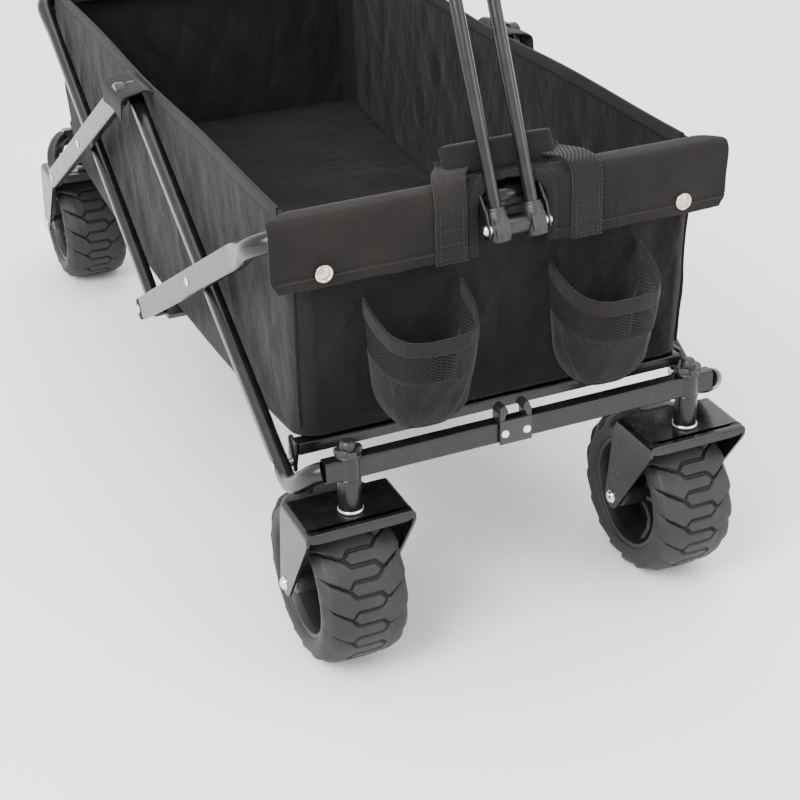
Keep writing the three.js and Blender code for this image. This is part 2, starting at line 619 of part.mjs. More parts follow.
// A level bar with a short leg at each end that turns on the lower leg's rivet.
function floorBar(sign, outsideX) {
  const pivotY = sign * SUPPORT_Y;
  const barY = sign * (SUPPORT_Y + FLOOR_BAR_SET);
  const barZ = SUPPORT_Z + FLOOR_BAR_RISE;
  const ends = [new THREE.Vector3(-outsideX, barY, barZ), new THREE.Vector3(outsideX, barY, barZ)];
  const up = new THREE.Vector3(0, 0, 1);
  const bar = sweptTube(ends, up, () => roundedSection(FLOOR_BAR_DEPTH / 2, FLOOR_BAR_HEIGHT / 2, 2.5));
  const eye = FLOOR_BAR_HEIGHT / 2;
  const lean = Math.atan2(barY - pivotY, barZ - SUPPORT_Z);
  const legShape = new THREE.Shape();
  legShape.absarc(0, 0, eye, Math.PI, Math.PI * 2, false);
  legShape.lineTo(eye, Math.hypot(FLOOR_BAR_RISE, FLOOR_BAR_SET));
  legShape.lineTo(-eye, Math.hypot(FLOOR_BAR_RISE, FLOOR_BAR_SET));
  const legPlates = bothSides.map((side) => {
    const near = side > 0 ? outsideX - FLOOR_LEG_THICKNESS : -outsideX;
    const leg = plateAcross(legShape, near, near + FLOOR_LEG_THICKNESS);
    return leg.rotateX(-lean).translate(0, pivotY, SUPPORT_Z);
  });
  const holes = bothSides.map((side) => rivetHole(side, pivotY, SUPPORT_Z, outsideX - 12, outsideX + 4));
  return cut(join(bar, ...legPlates), ...holes);
}

add('front_floor_bar', floorBar(-1, INNER_X - TUBE_RADIUS - 2 * CLEARANCE), 'steel');
add('rear_floor_bar', floorBar(1, OUTER_X - TUBE_RADIUS - 2 * CLEARANCE), 'steel');

const KNUCKLE_OUT_X = INNER_FACE_X - OVAL_THICKNESS - 2 * CLEARANCE;
const MIDDLE_BAR_END_X = KNUCKLE_OUT_X - KNUCKLE_LENGTH - CLEARANCE;
const middleBar = rodAlongX(-MIDDLE_BAR_END_X, MIDDLE_BAR_END_X, MIDDLE_BAR_RADIUS, 0, MIDDLE_PIVOT_Z, 16);
add('middle_floor_bar', middleBar, 'steel');

// A moulded end for the middle bar, with two round knuckles side by side.
function knuckle(side) {
  const near = side > 0 ? KNUCKLE_OUT_X - KNUCKLE_LENGTH : -KNUCKLE_OUT_X;
  const far = near + KNUCKLE_LENGTH;
  const rods = bothSides.map((way) =>
    rodAlongX(near, far, KNUCKLE_RADIUS, way * KNUCKLE_SPACING / 2, MIDDLE_PIVOT_Z - 4, 16));
  const reach = KNUCKLE_SPACING / 2;
  const bridge = box(near, far, -reach, reach, MIDDLE_PIVOT_Z - 10, MIDDLE_PIVOT_Z + 6);
  return join(rods[0], rods[1], bridge);
}
bothSides.forEach((side) => add(`floor_knuckle_${SIDE_NAME[side]}`, knuckle(side), 'plastic'));

// ---- Carriages and wheels -----------------------------------------------------------------------------

add('front_crossbar', crossbar(FRONT_POST_Y), 'steel');
add('rear_crossbar', crossbar(REAR_POST_Y), 'steel');

const corners = [
  { end: 'front', postY: FRONT_POST_Y, trail: FRONT_TRAIL },
  { end: 'rear', postY: REAR_POST_Y, trail: REAR_TRAIL },
];
for (const { end, postY, trail } of corners) {
  for (const side of bothSides) {
    const x = side * POST_SPACING / 2;
    const name = `${end}_${SIDE_NAME[side]}`;
    add(`cap_${name}`, postCap(x, postY), 'plastic');
    if (end === 'front') add(`washer_${name}`, washer(x, postY), 'chrome');
    add(`fork_${name}`, fork(x, postY, trail), 'steel');
    add(`axle_${name}`, axle(x, postY + trail), 'chrome');
    add(`hub_${name}`, hub(x, postY + trail), 'plastic');
    add(`tyre_${name}`, tyre(x, postY + trail), 'rubber');
  }
}

// ---- Handle clip --------------------------------------------------------------------------------------

function handleClip() {
  const halfWidth = CLIP_WIDTH / 2;
  const halfGap = CLIP_GAP / 2;
  const low = CROSSBAR_Z - CROSSBAR_HEIGHT / 2;
  const seat = CROSSBAR_Z + CROSSBAR_HEIGHT / 2 + CLEARANCE;
  const floor = seat + CLIP_FLOOR;
  const tip = seat + CLIP_HORN;
  const shape = new THREE.Shape();
  shape.moveTo(-halfWidth, seat);
  shape.lineTo(halfWidth, seat);
  shape.lineTo(halfWidth, tip - CLIP_BARB);
  shape.lineTo(halfWidth - CLIP_BARB, tip);
  shape.lineTo(halfGap - CLIP_BARB, tip - CLIP_BARB);
  shape.lineTo(halfGap, tip - 2 * CLIP_BARB);
  shape.lineTo(halfGap, floor);
  shape.lineTo(-halfGap, floor);
  shape.lineTo(-halfGap, tip - 2 * CLIP_BARB);
  shape.lineTo(CLIP_BARB - halfGap, tip - CLIP_BARB);
  shape.lineTo(CLIP_BARB - halfWidth, tip);
  shape.lineTo(-halfWidth, tip - CLIP_BARB);
  const back = FRONT_POST_Y + CROSSBAR_DEPTH / 2;
  const front = FRONT_POST_Y - CROSSBAR_DEPTH / 2 - CLEARANCE - CLIP_PLATE;
  const horns = new THREE.ExtrudeGeometry(shape, { depth: back - front, bevelEnabled: false });
  horns.rotateX(Math.PI / 2).translate(CLIP_X, back, 0);
  const plate = box(CLIP_X - halfWidth, CLIP_X + halfWidth, front, front + CLIP_PLATE, low, floor);
  return join(horns, plate);
}
add('handle_clip', handleClip(), 'plastic');

// ---- Handle -------------------------------------------------------------------------------------------

// Handle pieces are made upright over the pivot at (0, 0, 0), then leaned back and put in place.
function onHandle(geometry) {
  return geometry.rotateX(-HANDLE_LEAN).translate(0, HANDLE_Y, HANDLE_Z);
}

const CHEEK_IN_X = HANDLE_SPACING / 2 + SOCKET_RADIUS + BRACKET_TO_SOCKET;
const CHEEK_OUT_X = CHEEK_IN_X + BRACKET_STEEL;

// Two steel cheeks round the front rail, joined by a plate over it.
function handleBracket() {
  const eye = 9;
  const railEye = TUBE_RADIUS + 5;
  const shape = new THREE.Shape();
  shape.moveTo(-RAIL_Y + railEye, RAIL_Z - 4);
  shape.absarc(-RAIL_Y, RAIL_Z, railEye, 0, Math.PI * 0.75, false);
  shape.absarc(HANDLE_Y, HANDLE_Z, eye, Math.PI * 0.75, Math.PI * 1.55, false);
  shape.lineTo(-RAIL_Y, RAIL_Z - railEye);
  const cheeks = bothSides.map((side) => {
    const near = side > 0 ? CHEEK_IN_X : -CHEEK_OUT_X;
    return plateAcross(shape, near, near + BRACKET_STEEL, 6);
  });
  const bridgeLow = RAIL_Z + TUBE_RADIUS + 2 * CLEARANCE;
  const bridgeTop = bridgeLow + BRACKET_STEEL;
  const bridge = box(-CHEEK_OUT_X, CHEEK_OUT_X, -RAIL_Y - 5, -RAIL_Y + 11, bridgeLow, bridgeTop);
  const railHole = rodAlongX(-CHEEK_OUT_X - 5, CHEEK_OUT_X + 5, TUBE_RADIUS + CLEARANCE, -RAIL_Y, RAIL_Z, 16);
  const bolt = HANDLE_BOLT_RADIUS + PIVOT_CLEARANCE;
  const boltHole = rodAlongX(-CHEEK_OUT_X - 5, CHEEK_OUT_X + 5, bolt, HANDLE_Y, HANDLE_Z);
  return cut(join(cheeks[0], cheeks[1], bridge), railHole, boltHole);
}

function handleBolt() {
  const seat = CHEEK_OUT_X + CLEARANCE;
  const profile = [
    [-seat - 3.4, 0], [-seat - 3.4, 3], [-seat, HANDLE_BOLT_HEAD], [-seat, HANDLE_BOLT_RADIUS],
    [seat, HANDLE_BOLT_RADIUS], [seat, HANDLE_BOLT_HEAD], [seat + 3.4, 3], [seat + 3.4, 0],
  ];
  return turnedAboutX(profile, HANDLE_Y, HANDLE_Z, 12);
}

function handleYoke() {
  const sockets = bothSides.map((side) =>
    rodAlongZ(-SOCKET_BELOW, SOCKET_LENGTH - SOCKET_BELOW, SOCKET_RADIUS, side * HANDLE_SPACING / 2, 0, 16));
  const spacer = rodAlongX(-HANDLE_SPACING / 2, HANDLE_SPACING / 2, SPACER_RADIUS, 0, 0);
  const seat = HANDLE_TUBE_RADIUS + CLEARANCE;
  const seats = bothSides.map((side) =>
    rodAlongZ(HANDLE_BOLT_HEAD, SOCKET_LENGTH, seat, side * HANDLE_SPACING / 2, 0));
  const bolt = rodAlongX(-CHEEK_IN_X - 5, CHEEK_IN_X + 5, HANDLE_BOLT_RADIUS + PIVOT_CLEARANCE, 0, 0);
  return onHandle(cut(join(sockets[0], sockets[1], spacer), ...seats, bolt));
}

const TUBE_START = HANDLE_BOLT_HEAD + CLEARANCE;
const TUBE_END = TUBE_START + HANDLE_TUBE_LENGTH;

function handleTube(side) {
  const profile = [
    [TUBE_START, HANDLE_TUBE_BORE], [TUBE_START, HANDLE_TUBE_RADIUS], [TUBE_END, HANDLE_TUBE_RADIUS],
    [TUBE_END, HANDLE_TUBE_BORE], [TUBE_START, HANDLE_TUBE_BORE],
  ];
  return onHandle(turnedAboutZ(profile, side * HANDLE_SPACING / 2, 0, 12));
}

// The moulded block that holds the lower tubes apart and guides the slider.
function handleCollar() {
  const low = TUBE_END - COLLAR_LENGTH + 12;
  const high = TUBE_END + 12;
  const half = HANDLE_SPACING / 2 + HANDLE_TUBE_RADIUS + 5;
  const ends = [new THREE.Vector3(0, 0, low), new THREE.Vector3(0, 0, high)];
  const block = sweptTube(ends, new THREE.Vector3(0, 1, 0), () => roundedSection(half, 12, 8));
  const seats = bothSides.map((side) =>
    rodAlongZ(low - 1, TUBE_END + CLEARANCE, HANDLE_TUBE_RADIUS + CLEARANCE, side * HANDLE_SPACING / 2, 0));
  const guides = bothSides.map((side) =>
    rodAlongZ(TUBE_END - 4, high + 1, SLIDER_RADIUS + CLEARANCE, side * HANDLE_SPACING / 2, 0));
  return onHandle(cut(block, ...seats, ...guides));
}

const SLIDER_TOP = TUBE_END + 12 + SLIDER_SHOWN;

function handleSlider() {
  const x = HANDLE_SPACING / 2;
  const low = TUBE_END - SLIDER_HIDDEN;
  const path = [
    new THREE.Vector3(-x, 0, low), new THREE.Vector3(-x, 0, SLIDER_TOP),
    new THREE.Vector3(x, 0, SLIDER_TOP), new THREE.Vector3(x, 0, low),
  ];
  const round = () => roundedSection(SLIDER_RADIUS, SLIDER_RADIUS, SLIDER_RADIUS - 0.01);
  return onHandle(sweptTube(roundedPath(path, 12, 4), new THREE.Vector3(0, 1, 0), round));
}

// A moulded T-grip seated over the slider's bend.
function handleGrip() {
  const half = GRIP_LENGTH / 2;
  const z = SLIDER_TOP;
  const profile = [
    [-half, 0], [-half, GRIP_RADIUS - 5], [-half + 5, GRIP_RADIUS], [-20, GRIP_RADIUS - 1.5],
    [20, GRIP_RADIUS - 1.5], [half - 5, GRIP_RADIUS], [half, GRIP_RADIUS - 5], [half, 0],
  ];
  const bar = turnedAboutX(profile, 0, z);
  const neckEnds = [new THREE.Vector3(0, 0, z - 34), new THREE.Vector3(0, 0, z)];
  const neck = sweptTube(neckEnds, new THREE.Vector3(0, 1, 0), () => roundedSection(29, 10, 8));
  const x = HANDLE_SPACING / 2;
  const hollowPath = [
    new THREE.Vector3(-x, 0, z - 60), new THREE.Vector3(-x, 0, z),
    new THREE.Vector3(x, 0, z), new THREE.Vector3(x, 0, z - 60),
  ];
  const wide = SLIDER_RADIUS + 2 * CLEARANCE;
  const holeSection = () => roundedSection(wide, wide, wide - 0.01);
  const hollow = sweptTube(roundedPath(hollowPath, 12, 4), new THREE.Vector3(0, 1, 0), holeSection);
  return onHandle(cut(join(bar, neck), hollow));
}

add('handle_bracket', handleBracket(), 'steel');
add('handle_bolt', handleBolt(), 'chrome');
add('handle_yoke', handleYoke(), 'plastic');
bothSides.forEach((side) => add(`handle_tube_${SIDE_NAME[side]}`, handleTube(side), 'steel'));
add('handle_collar', handleCollar(), 'plastic');
add('handle_slider', handleSlider(), 'steel');
add('handle_grip', handleGrip(), 'plastic');

// ---- Cloth parts --------------------------------------------------------------------------------------

function bag() {
  const top = BAG_TOP_LENGTH / 2;
  const floor = BAG_FLOOR_LENGTH / 2;
  const side = top - BAG_NOTCH;
  const outer = plateAcross(polygon([
    [0, BAG_FLOOR_MIDDLE_Z], [floor, BAG_FLOOR_END_Z], [top, BAG_END_Z], [side, BAG_END_Z], [side, BAG_TOP_Z],
    [-side, BAG_TOP_Z], [-side, BAG_END_Z], [-top, BAG_END_Z], [-floor, BAG_FLOOR_END_Z],
  ]), -BAG_HALF_WIDTH, BAG_HALF_WIDTH);
  const above = BAG_TOP_Z + 10;
  const inner = plateAcross(polygon([
    [0, BAG_FLOOR_MIDDLE_Z + CLOTH], [floor - CLOTH, BAG_FLOOR_END_Z + CLOTH], [top - CLOTH, BAG_END_Z],
    [top - CLOTH, above], [CLOTH - top, above], [CLOTH - top, BAG_END_Z],
    [CLOTH - floor, BAG_FLOOR_END_Z + CLOTH],
  ]), CLOTH - BAG_HALF_WIDTH, BAG_HALF_WIDTH - CLOTH);
  return cut(outer, inner);
}

// The hemmed flap that folds over a rail, open underneath.
function flap(sign) {
  const out = TUBE_RADIUS + CLEARANCE + FLAP_CLOTH;
  const gap = TUBE_RADIUS + CLEARANCE;
  const y = sign * RAIL_Y;
  const s = sign;
  const low = RAIL_Z - FLAP_SKIRT;
  const turn = RAIL_Z - FLAP_TURN;
  const outline = [
    [y + s * out, low], [y + s * out, RAIL_Z + 6], [y + s * 7, RAIL_Z + out], [y - s * 7, RAIL_Z + out],
    [y - s * out, RAIL_Z + 6], [y - s * out, turn], [y - s * gap, turn], [y - s * gap, RAIL_Z + 4.6],
    [y - s * 6, RAIL_Z + gap], [y + s * 6, RAIL_Z + gap], [y + s * gap, RAIL_Z + 4.6], [y + s * gap, low],
  ];
  const half = (sign < 0 ? OUTER_X : INNER_X) - RAIL_BEND_RADIUS - FLAP_TO_BEND;
  const sheet = plateAcross(polygon(sign > 0 ? outline : outline.reverse()), -half, half);
  if (sign > 0) return sheet;
  const reach = CHEEK_OUT_X + 9;
  const notch = box(-reach, reach, HANDLE_Y - 20, -RAIL_Y - 3, low + 12, RAIL_Z + out + 5);
  const slot = box(-reach, reach, -RAIL_Y - 4, -RAIL_Y + 25, RAIL_Z - 12, RAIL_Z + out + 5);
  return cut(sheet, notch, slot);
}

function bottlePocket(side) {
  const back = -BAG_TOP_LENGTH / 2 - 2 * CLEARANCE;
  const cup = (inset, z0, z1) => {
    const half = POCKET_WIDTH / 2 - inset;
    const front = back - POCKET_DEPTH + inset;
    const shape = new THREE.Shape();
    shape.moveTo(half, back - inset);
    shape.lineTo(-half, back - inset);
    shape.lineTo(-half, front + POCKET_FRONT_CORNER);
    shape.quadraticCurveTo(-half, front, -half + POCKET_SIDE_CORNER, front);
    shape.lineTo(half - POCKET_SIDE_CORNER, front);
    shape.quadraticCurveTo(half, front, half, front + POCKET_FRONT_CORNER);
    const solid = new THREE.ExtrudeGeometry(shape, { depth: z1 - z0, bevelEnabled: false, curveSegments: 5 });
    return solid.translate(side * POCKET_X, 0, z0);
  };
  const hollow = cup(POCKET_CLOTH, POCKET_BOTTOM_Z + POCKET_CLOTH, POCKET_TOP_Z + 5);
  return cut(cup(0, POCKET_BOTTOM_Z, POCKET_TOP_Z), hollow);
}

// Two webbing bands over the front flap, with a padded wrap between them behind the handle.
function carryStrap() {
  const front = -RAIL_Y - TUBE_RADIUS - FLAP_CLOTH - 2 * CLEARANCE;
  const low = RAIL_Z - FLAP_SKIRT + 2;
  const top = RAIL_Z + TUBE_RADIUS + FLAP_CLOTH + 2 * CLEARANCE;
  const wrapY = -RAIL_Y + WRAP_BEHIND_RAIL;
  const wrapZ = top + 12;
  const t = STRAP_THICKNESS;
  const bandShape = polygon([
    [front, low], [front, top], [wrapY, top + 6], [wrapY + t, wrapZ + WRAP_HEIGHT / 2],
    [wrapY, wrapZ + WRAP_HEIGHT / 2], [wrapY - 4, top + 10], [front - t, top + 4], [front - t, low],
  ]);
  const bands = bothSides.map((side) => {
    const middle = side * STRAP_X;
    return plateAcross(bandShape, middle - STRAP_WIDTH / 2, middle + STRAP_WIDTH / 2);
  });
  const reach = STRAP_X + STRAP_WIDTH / 2;
  const core = box(-reach, reach, wrapY, wrapY + t, wrapZ + 4, wrapZ + WRAP_HEIGHT / 2);
  const wrapMiddleY = wrapY + 2 + WRAP_DEPTH / 4;
  const wrapEnd = (side) => new THREE.Vector3(side * WRAP_LENGTH / 2, wrapMiddleY, wrapZ + 14);
  const wrapEnds = bothSides.map(wrapEnd);
  const section = () => roundedSection(WRAP_DEPTH / 2, WRAP_HEIGHT / 2, 8);
  const wrap = sweptTube(wrapEnds, new THREE.Vector3(0, 0, 1), section);
  return join(bands[0], core, wrap, bands[1]);
}

add('bag', bag(), 'cloth');
add('front_flap', flap(-1), 'cloth');
add('rear_flap', flap(1), 'cloth');
bothSides.forEach((side) => add(`pocket_${SIDE_NAME[side]}`, bottlePocket(side), 'cloth'));
add('carry_strap', carryStrap(), 'cloth');

export default cart;
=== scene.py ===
# %% [markdown]
# # A folding beach cart
# A steel frame of crossed links folds lengthwise, a cloth bag hangs in it, and four wide wheels carry it.
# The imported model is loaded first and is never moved. Every piece made below is a surface worked out with
# numpy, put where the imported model's boxes say, and tied to the body that it moves with.

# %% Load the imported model
import json
import math

import bmesh
import bpy
import numpy as np
from mathutils import Matrix, Vector

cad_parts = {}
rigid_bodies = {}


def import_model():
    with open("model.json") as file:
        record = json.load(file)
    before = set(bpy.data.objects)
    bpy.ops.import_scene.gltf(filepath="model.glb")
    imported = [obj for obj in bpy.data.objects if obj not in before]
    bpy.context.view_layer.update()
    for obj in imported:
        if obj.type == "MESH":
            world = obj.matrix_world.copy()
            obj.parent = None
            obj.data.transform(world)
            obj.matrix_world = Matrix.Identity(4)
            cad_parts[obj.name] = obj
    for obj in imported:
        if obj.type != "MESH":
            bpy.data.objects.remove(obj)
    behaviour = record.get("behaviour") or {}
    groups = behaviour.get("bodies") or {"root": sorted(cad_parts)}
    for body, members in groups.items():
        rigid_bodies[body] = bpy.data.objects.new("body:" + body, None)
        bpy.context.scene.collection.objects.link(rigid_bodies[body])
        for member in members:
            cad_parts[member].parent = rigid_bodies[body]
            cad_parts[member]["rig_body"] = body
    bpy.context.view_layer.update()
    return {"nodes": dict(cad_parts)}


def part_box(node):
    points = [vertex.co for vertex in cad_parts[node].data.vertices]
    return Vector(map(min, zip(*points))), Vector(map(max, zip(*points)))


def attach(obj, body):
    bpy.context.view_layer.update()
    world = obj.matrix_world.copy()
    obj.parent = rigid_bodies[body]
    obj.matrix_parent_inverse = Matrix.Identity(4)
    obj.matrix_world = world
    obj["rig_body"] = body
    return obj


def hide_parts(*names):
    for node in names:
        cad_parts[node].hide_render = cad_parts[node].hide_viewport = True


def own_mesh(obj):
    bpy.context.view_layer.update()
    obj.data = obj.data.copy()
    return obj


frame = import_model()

MM = 0.001

# %% [markdown]
# ## The camera
# The cart is seen from its front right corner, a little above it, with a long lens. The camera's three axes
# follow from its turn about the vertical, its tilt down and a slight roll.

# %% The camera
CAMERA_PLACE = (-0.6437, -1.79175, 1.0213)
CAMERA_TURN = math.radians(-22.6)
CAMERA_TILT = math.radians(28.7)
CAMERA_ROLL = math.radians(-1.8)
LENS_MM = 75.38


def camera_axes(turn, tilt, roll):
    """Right, up and back: back comes from turn and tilt, right is level, and both are then rolled."""
    back = np.array([math.sin(turn) * math.cos(tilt), -math.cos(turn) * math.cos(tilt), math.sin(tilt)])
    right = np.cross(-back, [0, 0, 1])
    right = right / np.linalg.norm(right)
    up = np.cross(right, -back)
    rolled_right = right * math.cos(roll) + up * math.sin(roll)
    rolled_up = up * math.cos(roll) - right * math.sin(roll)
    return np.stack([rolled_right, rolled_up, back], axis=1)


def add_camera():
    data = bpy.data.cameras.new("camera")
    data.lens = LENS_MM
    data.sensor_width = 36.0
    camera = bpy.data.objects.new("camera", data)
    bpy.context.scene.collection.objects.link(camera)
    matrix = np.eye(4)
    matrix[:3, :3] = camera_axes(CAMERA_TURN, CAMERA_TILT, CAMERA_ROLL)
    matrix[:3, 3] = CAMERA_PLACE
    camera.matrix_world = Matrix(matrix.tolist())
    bpy.context.scene.camera = camera


add_camera()
print("camera at", CAMERA_PLACE, "lens", LENS_MM)

# %% [markdown]
# ## Shells
# A shell here is a set of points, faces and face-corner UVs. Three makers cover the whole cart: a grid of
# points, a section carried along a path, and a profile turned about an axis. The UV map is the distance
# along the surface in metres, so that a weave keeps its thread size on every piece.

# %% Grids
def unit(vectors):
    """Vectors divided by their own length."""
    return vectors / np.maximum(np.linalg.norm(vectors, axis=-1, keepdims=True), 1e-12)


def grid_shell(grid, wrap_rows=False, wrap_columns=False, caps=False):
    """Joins each point of a grid to its neighbours. Caps close the first and last rows with a fan."""
    rows, columns = grid.shape[:2]
    row_steps = np.arange(rows if wrap_rows else rows - 1)
    column_steps = np.arange(columns if wrap_columns else columns - 1)
    i, j = np.meshgrid(row_steps, column_steps, indexing="ij")
    corner_i = np.stack([i, i, i + 1, i + 1], -1).reshape(-1, 4)
    corner_j = np.stack([j, j + 1, j + 1, j], -1).reshape(-1, 4)
    faces = ((corner_i % rows) * columns + corner_j % columns).tolist()
    down = np.linalg.norm(np.diff(grid, axis=0, append=grid[:1]), axis=2).mean(1)
    across = np.linalg.norm(np.diff(grid, axis=1, append=grid[:, :1]), axis=2).mean(0)
    v = np.concatenate([[0], np.cumsum(down)]) * MM
    u = np.concatenate([[0], np.cumsum(across)]) * MM
    uvs = [np.stack([u[corner_j], v[corner_i]], -1).reshape(-1, 2)]
    points = [grid.reshape(-1, 3)]
    if caps:
        ring = np.arange(columns)
        after = (ring + 1) % columns
        for row, offset in ((0, 0), (rows - 1, (rows - 1) * columns)):
            centre = rows * columns + len(points) - 1
            fan = np.stack([after + offset, ring + offset, np.full(columns, centre)], -1)
            faces += (fan if row == 0 else fan[:, ::-1]).tolist()
            points.append(grid[row].mean(0, keepdims=True))
            flat = (grid[row] - grid[row].mean(0)) @ _flat_axes(grid[row]) * MM
            corners = np.stack([flat[after], flat[ring], np.zeros((columns, 2))], 1)
            uvs.append((corners if row == 0 else corners[:, ::-1]).reshape(-1, 2))
    return np.concatenate(points), faces, np.concatenate(uvs)


def _flat_axes(ring):
    """The two directions in which a ring of points is widest."""
    return np.linalg.svd(ring - ring.mean(0), full_matrices=False)[2][:2].T


# %% Paths, sections and turned profiles
def soften(corners, radius, steps=6):
    """A polyline with each inner corner made a round bend: a cubic curve that lies on the bend's circle."""
    corners = np.asarray(corners, float)
    before = unit(corners[:-2] - corners[1:-1])
    after = unit(corners[2:] - corners[1:-1])
    turn = np.pi - np.arccos(np.clip((before * after).sum(1), -1, 1))
    room = np.minimum(np.linalg.norm(corners[:-2] - corners[1:-1], axis=1),
                      np.linalg.norm(corners[2:] - corners[1:-1], axis=1)) * 0.49
    setback = np.minimum(np.broadcast_to(radius, turn.shape) * np.tan(turn / 2), room)
    pull = 1 - 4 / 3 * np.tan(turn / 4) / np.tan(np.maximum(turn, 1e-6) / 2)
    start = corners[1:-1] + before * setback[:, None]
    end = corners[1:-1] + after * setback[:, None]
    near = corners[1:-1] + before * (setback * pull)[:, None]
    far = corners[1:-1] + after * (setback * pull)[:, None]
    t = np.linspace(0, 1, steps)[None, :, None]
    bend = ((1 - t) ** 3 * start[:, None] + 3 * (1 - t) ** 2 * t * near[:, None]
            + 3 * (1 - t) * t ** 2 * far[:, None] + t ** 3 * end[:, None])
    return np.concatenate([corners[:1], bend.reshape(-1, corners.shape[1]), corners[-1:]])


def resample(points, count):
    """The same line, with its points evenly spaced."""
    lengths = np.concatenate([[0], np.cumsum(np.linalg.norm(np.diff(points, axis=0), axis=1))])
    wanted = np.linspace(0, lengths[-1], count)
    return np.stack([np.interp(wanted, lengths, points[:, k]) for k in range(points.shape[1])], -1)


def round_box(half_across, half_up, corner, steps=5):
    """A rectangle with round corners. Sizes may be numbers, or arrays with one value for each station."""
    half_across, half_up, corner = (np.atleast_1d(v)[:, None] for v in (half_across, half_up, corner))
    k = np.arange(4 * steps)
    angle = (k // steps + (k % steps) / (steps - 1)) * np.pi / 2
    sign_across = np.array([1, -1, -1, 1])[k // steps]
    sign_up = np.array([1, 1, -1, -1])[k // steps]
    across = sign_across * (half_across - corner) + corner * np.cos(angle)
    up = sign_up * (half_up - corner) + corner * np.sin(angle)
    return np.stack(np.broadcast_arrays(across, up), -1)


def carry(path, up, section):
    """Carries a section along a path. Each station is square to the run there, and its up stays near up."""
    run = unit(np.diff(path, axis=0))
    run = unit(np.concatenate([run[:1], run]) + np.concatenate([run, run[-1:]]))
    up = np.broadcast_to(np.asarray(up, float), path.shape)
    square_up = unit(up - (up * run).sum(1, keepdims=True) * run)
    across = np.cross(square_up, run)
    return path[:, None] + section[..., :1] * across[:, None] + section[..., 1:] * square_up[:, None]


def rod(path, up, section):
    """A closed rod: a section carried along a path, with both ends capped."""
    return grid_shell(carry(np.asarray(path, float), up, section), wrap_columns=True, caps=True)


X, Y, Z = np.eye(3)
AXES = {"x": (X, Y, Z), "y": (Y, X, Z), "z": (Z, X, Y)}


def turned(profile, centre, axis="x", segments=48, ring=False):
    """Turns (along, radius) points about an axis through centre. A ring's profile closes on itself."""
    profile = np.asarray(profile, float)
    along, first, second = AXES[axis]
    angle = np.linspace(0, 2 * np.pi, segments, endpoint=False)[:, None, None]
    spokes = np.cos(angle) * first + np.sin(angle) * second
    grid = np.asarray(centre, float) + profile[None, :, :1] * along + profile[None, :, 1:] * spokes
    return grid_shell(grid, wrap_rows=True, wrap_columns=ring)


def plate(outline, x0, x1, soft=0.8):
    """A plate across X: an outline of (y, z) points, with its edges rounded over by soft."""
    outline = np.asarray(outline, float)
    middle = outline.mean(0)
    inset = middle + (outline - middle) * (1 - soft / np.linalg.norm(outline - middle, axis=1).mean())
    rings = [(x0, inset), (x0 + soft * 0.3, (inset + 2 * outline) / 3), (x0 + soft, outline),
             (x1 - soft, outline), (x1 - soft * 0.3, (inset + 2 * outline) / 3), (x1, inset)]
    grid = np.stack([np.column_stack([np.full(len(ring), x), ring]) for x, ring in rings])
    return grid_shell(grid, wrap_columns=True, caps=True)


# %% [markdown]
# ## Pieces
# A piece joins its shells into one mesh, merges the points at seams and poles, turns the faces outward and
# is tied to its body. Sheets of cloth are made open and get their thickness from a Solidify modifier.

# %% Make a piece
SHARP_ANGLE = math.radians(38)


def piece(name, shells, material, body, stands_for=(), thickness=0.0, weighted=False):
    """One mesh object from shells in millimetres, placed in the cart's own frame in metres."""
    points, faces, uvs, start = [], [], [], 0
    for shell_points, shell_faces, shell_uvs in shells:
        points.append(shell_points)
        faces += [[index + start for index in face] for face in shell_faces]
        uvs.append(shell_uvs)
        start += len(shell_points)
    mesh = bpy.data.meshes.new(name)
    mesh.from_pydata((np.concatenate(points) * MM).tolist(), [], faces)
    layer = mesh.uv_layers.new(name="surface")
    layer.data.foreach_set("uv", np.concatenate(uvs).astype(np.float32).ravel())
    work = bmesh.new()
    work.from_mesh(mesh)
    bmesh.ops.remove_doubles(work, verts=work.verts, dist=2e-6)
    bmesh.ops.recalc_face_normals(work, faces=work.faces)
    work.to_mesh(mesh)
    work.free()
    mesh.shade_smooth()
    if not thickness:
        mesh.set_sharp_from_angle(angle=SHARP_ANGLE)
    made = bpy.data.objects.new(name, mesh)
    bpy.context.scene.collection.objects.link(made)
    mesh.materials.append(material)
    if thickness:
        wall = made.modifiers.new("thickness", "SOLIDIFY")
        wall.thickness = thickness * MM
        wall.offset = 0.0
        wall.use_even_offset = True
    if weighted:
        made.modifiers.new("even_light", "WEIGHTED_NORMAL").keep_sharp = True
    tie(made, body, stands_for)
    return made


def tie(made, body, stands_for=()):
    """Says what a piece moves with and which CAD nodes it stands for."""
    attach(made, body)
    if stands_for:
        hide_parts(*stands_for)


def node_box(node):
    """A CAD node's lowest and highest corners, in millimetres."""
    low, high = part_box(node)
    return np.array(low) / MM, np.array(high) / MM


def node_middle(node):
    low, high = node_box(node)
    return (low + high) / 2


def body_of(node):
    return frame["nodes"][node]["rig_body"]


def line_length(points):
    """A line's length in metres, from points in millimetres."""
    return float(np.linalg.norm(np.diff(points, axis=0), axis=1).sum() * MM)


def smoothstep(low, high, value):
    """0 below low, 1 above high, and an even S between them."""
    t = np.clip((value - low) / (high - low), 0, 1)
    return t * t * (3 - 2 * t)


# %% [markdown]
# ## Finishes
# Effects that several finishes share are shader node groups: cloth threads, worn edges, fine grain and dust.
# A group only puts out masks and heights, and each finish keeps its own shader.

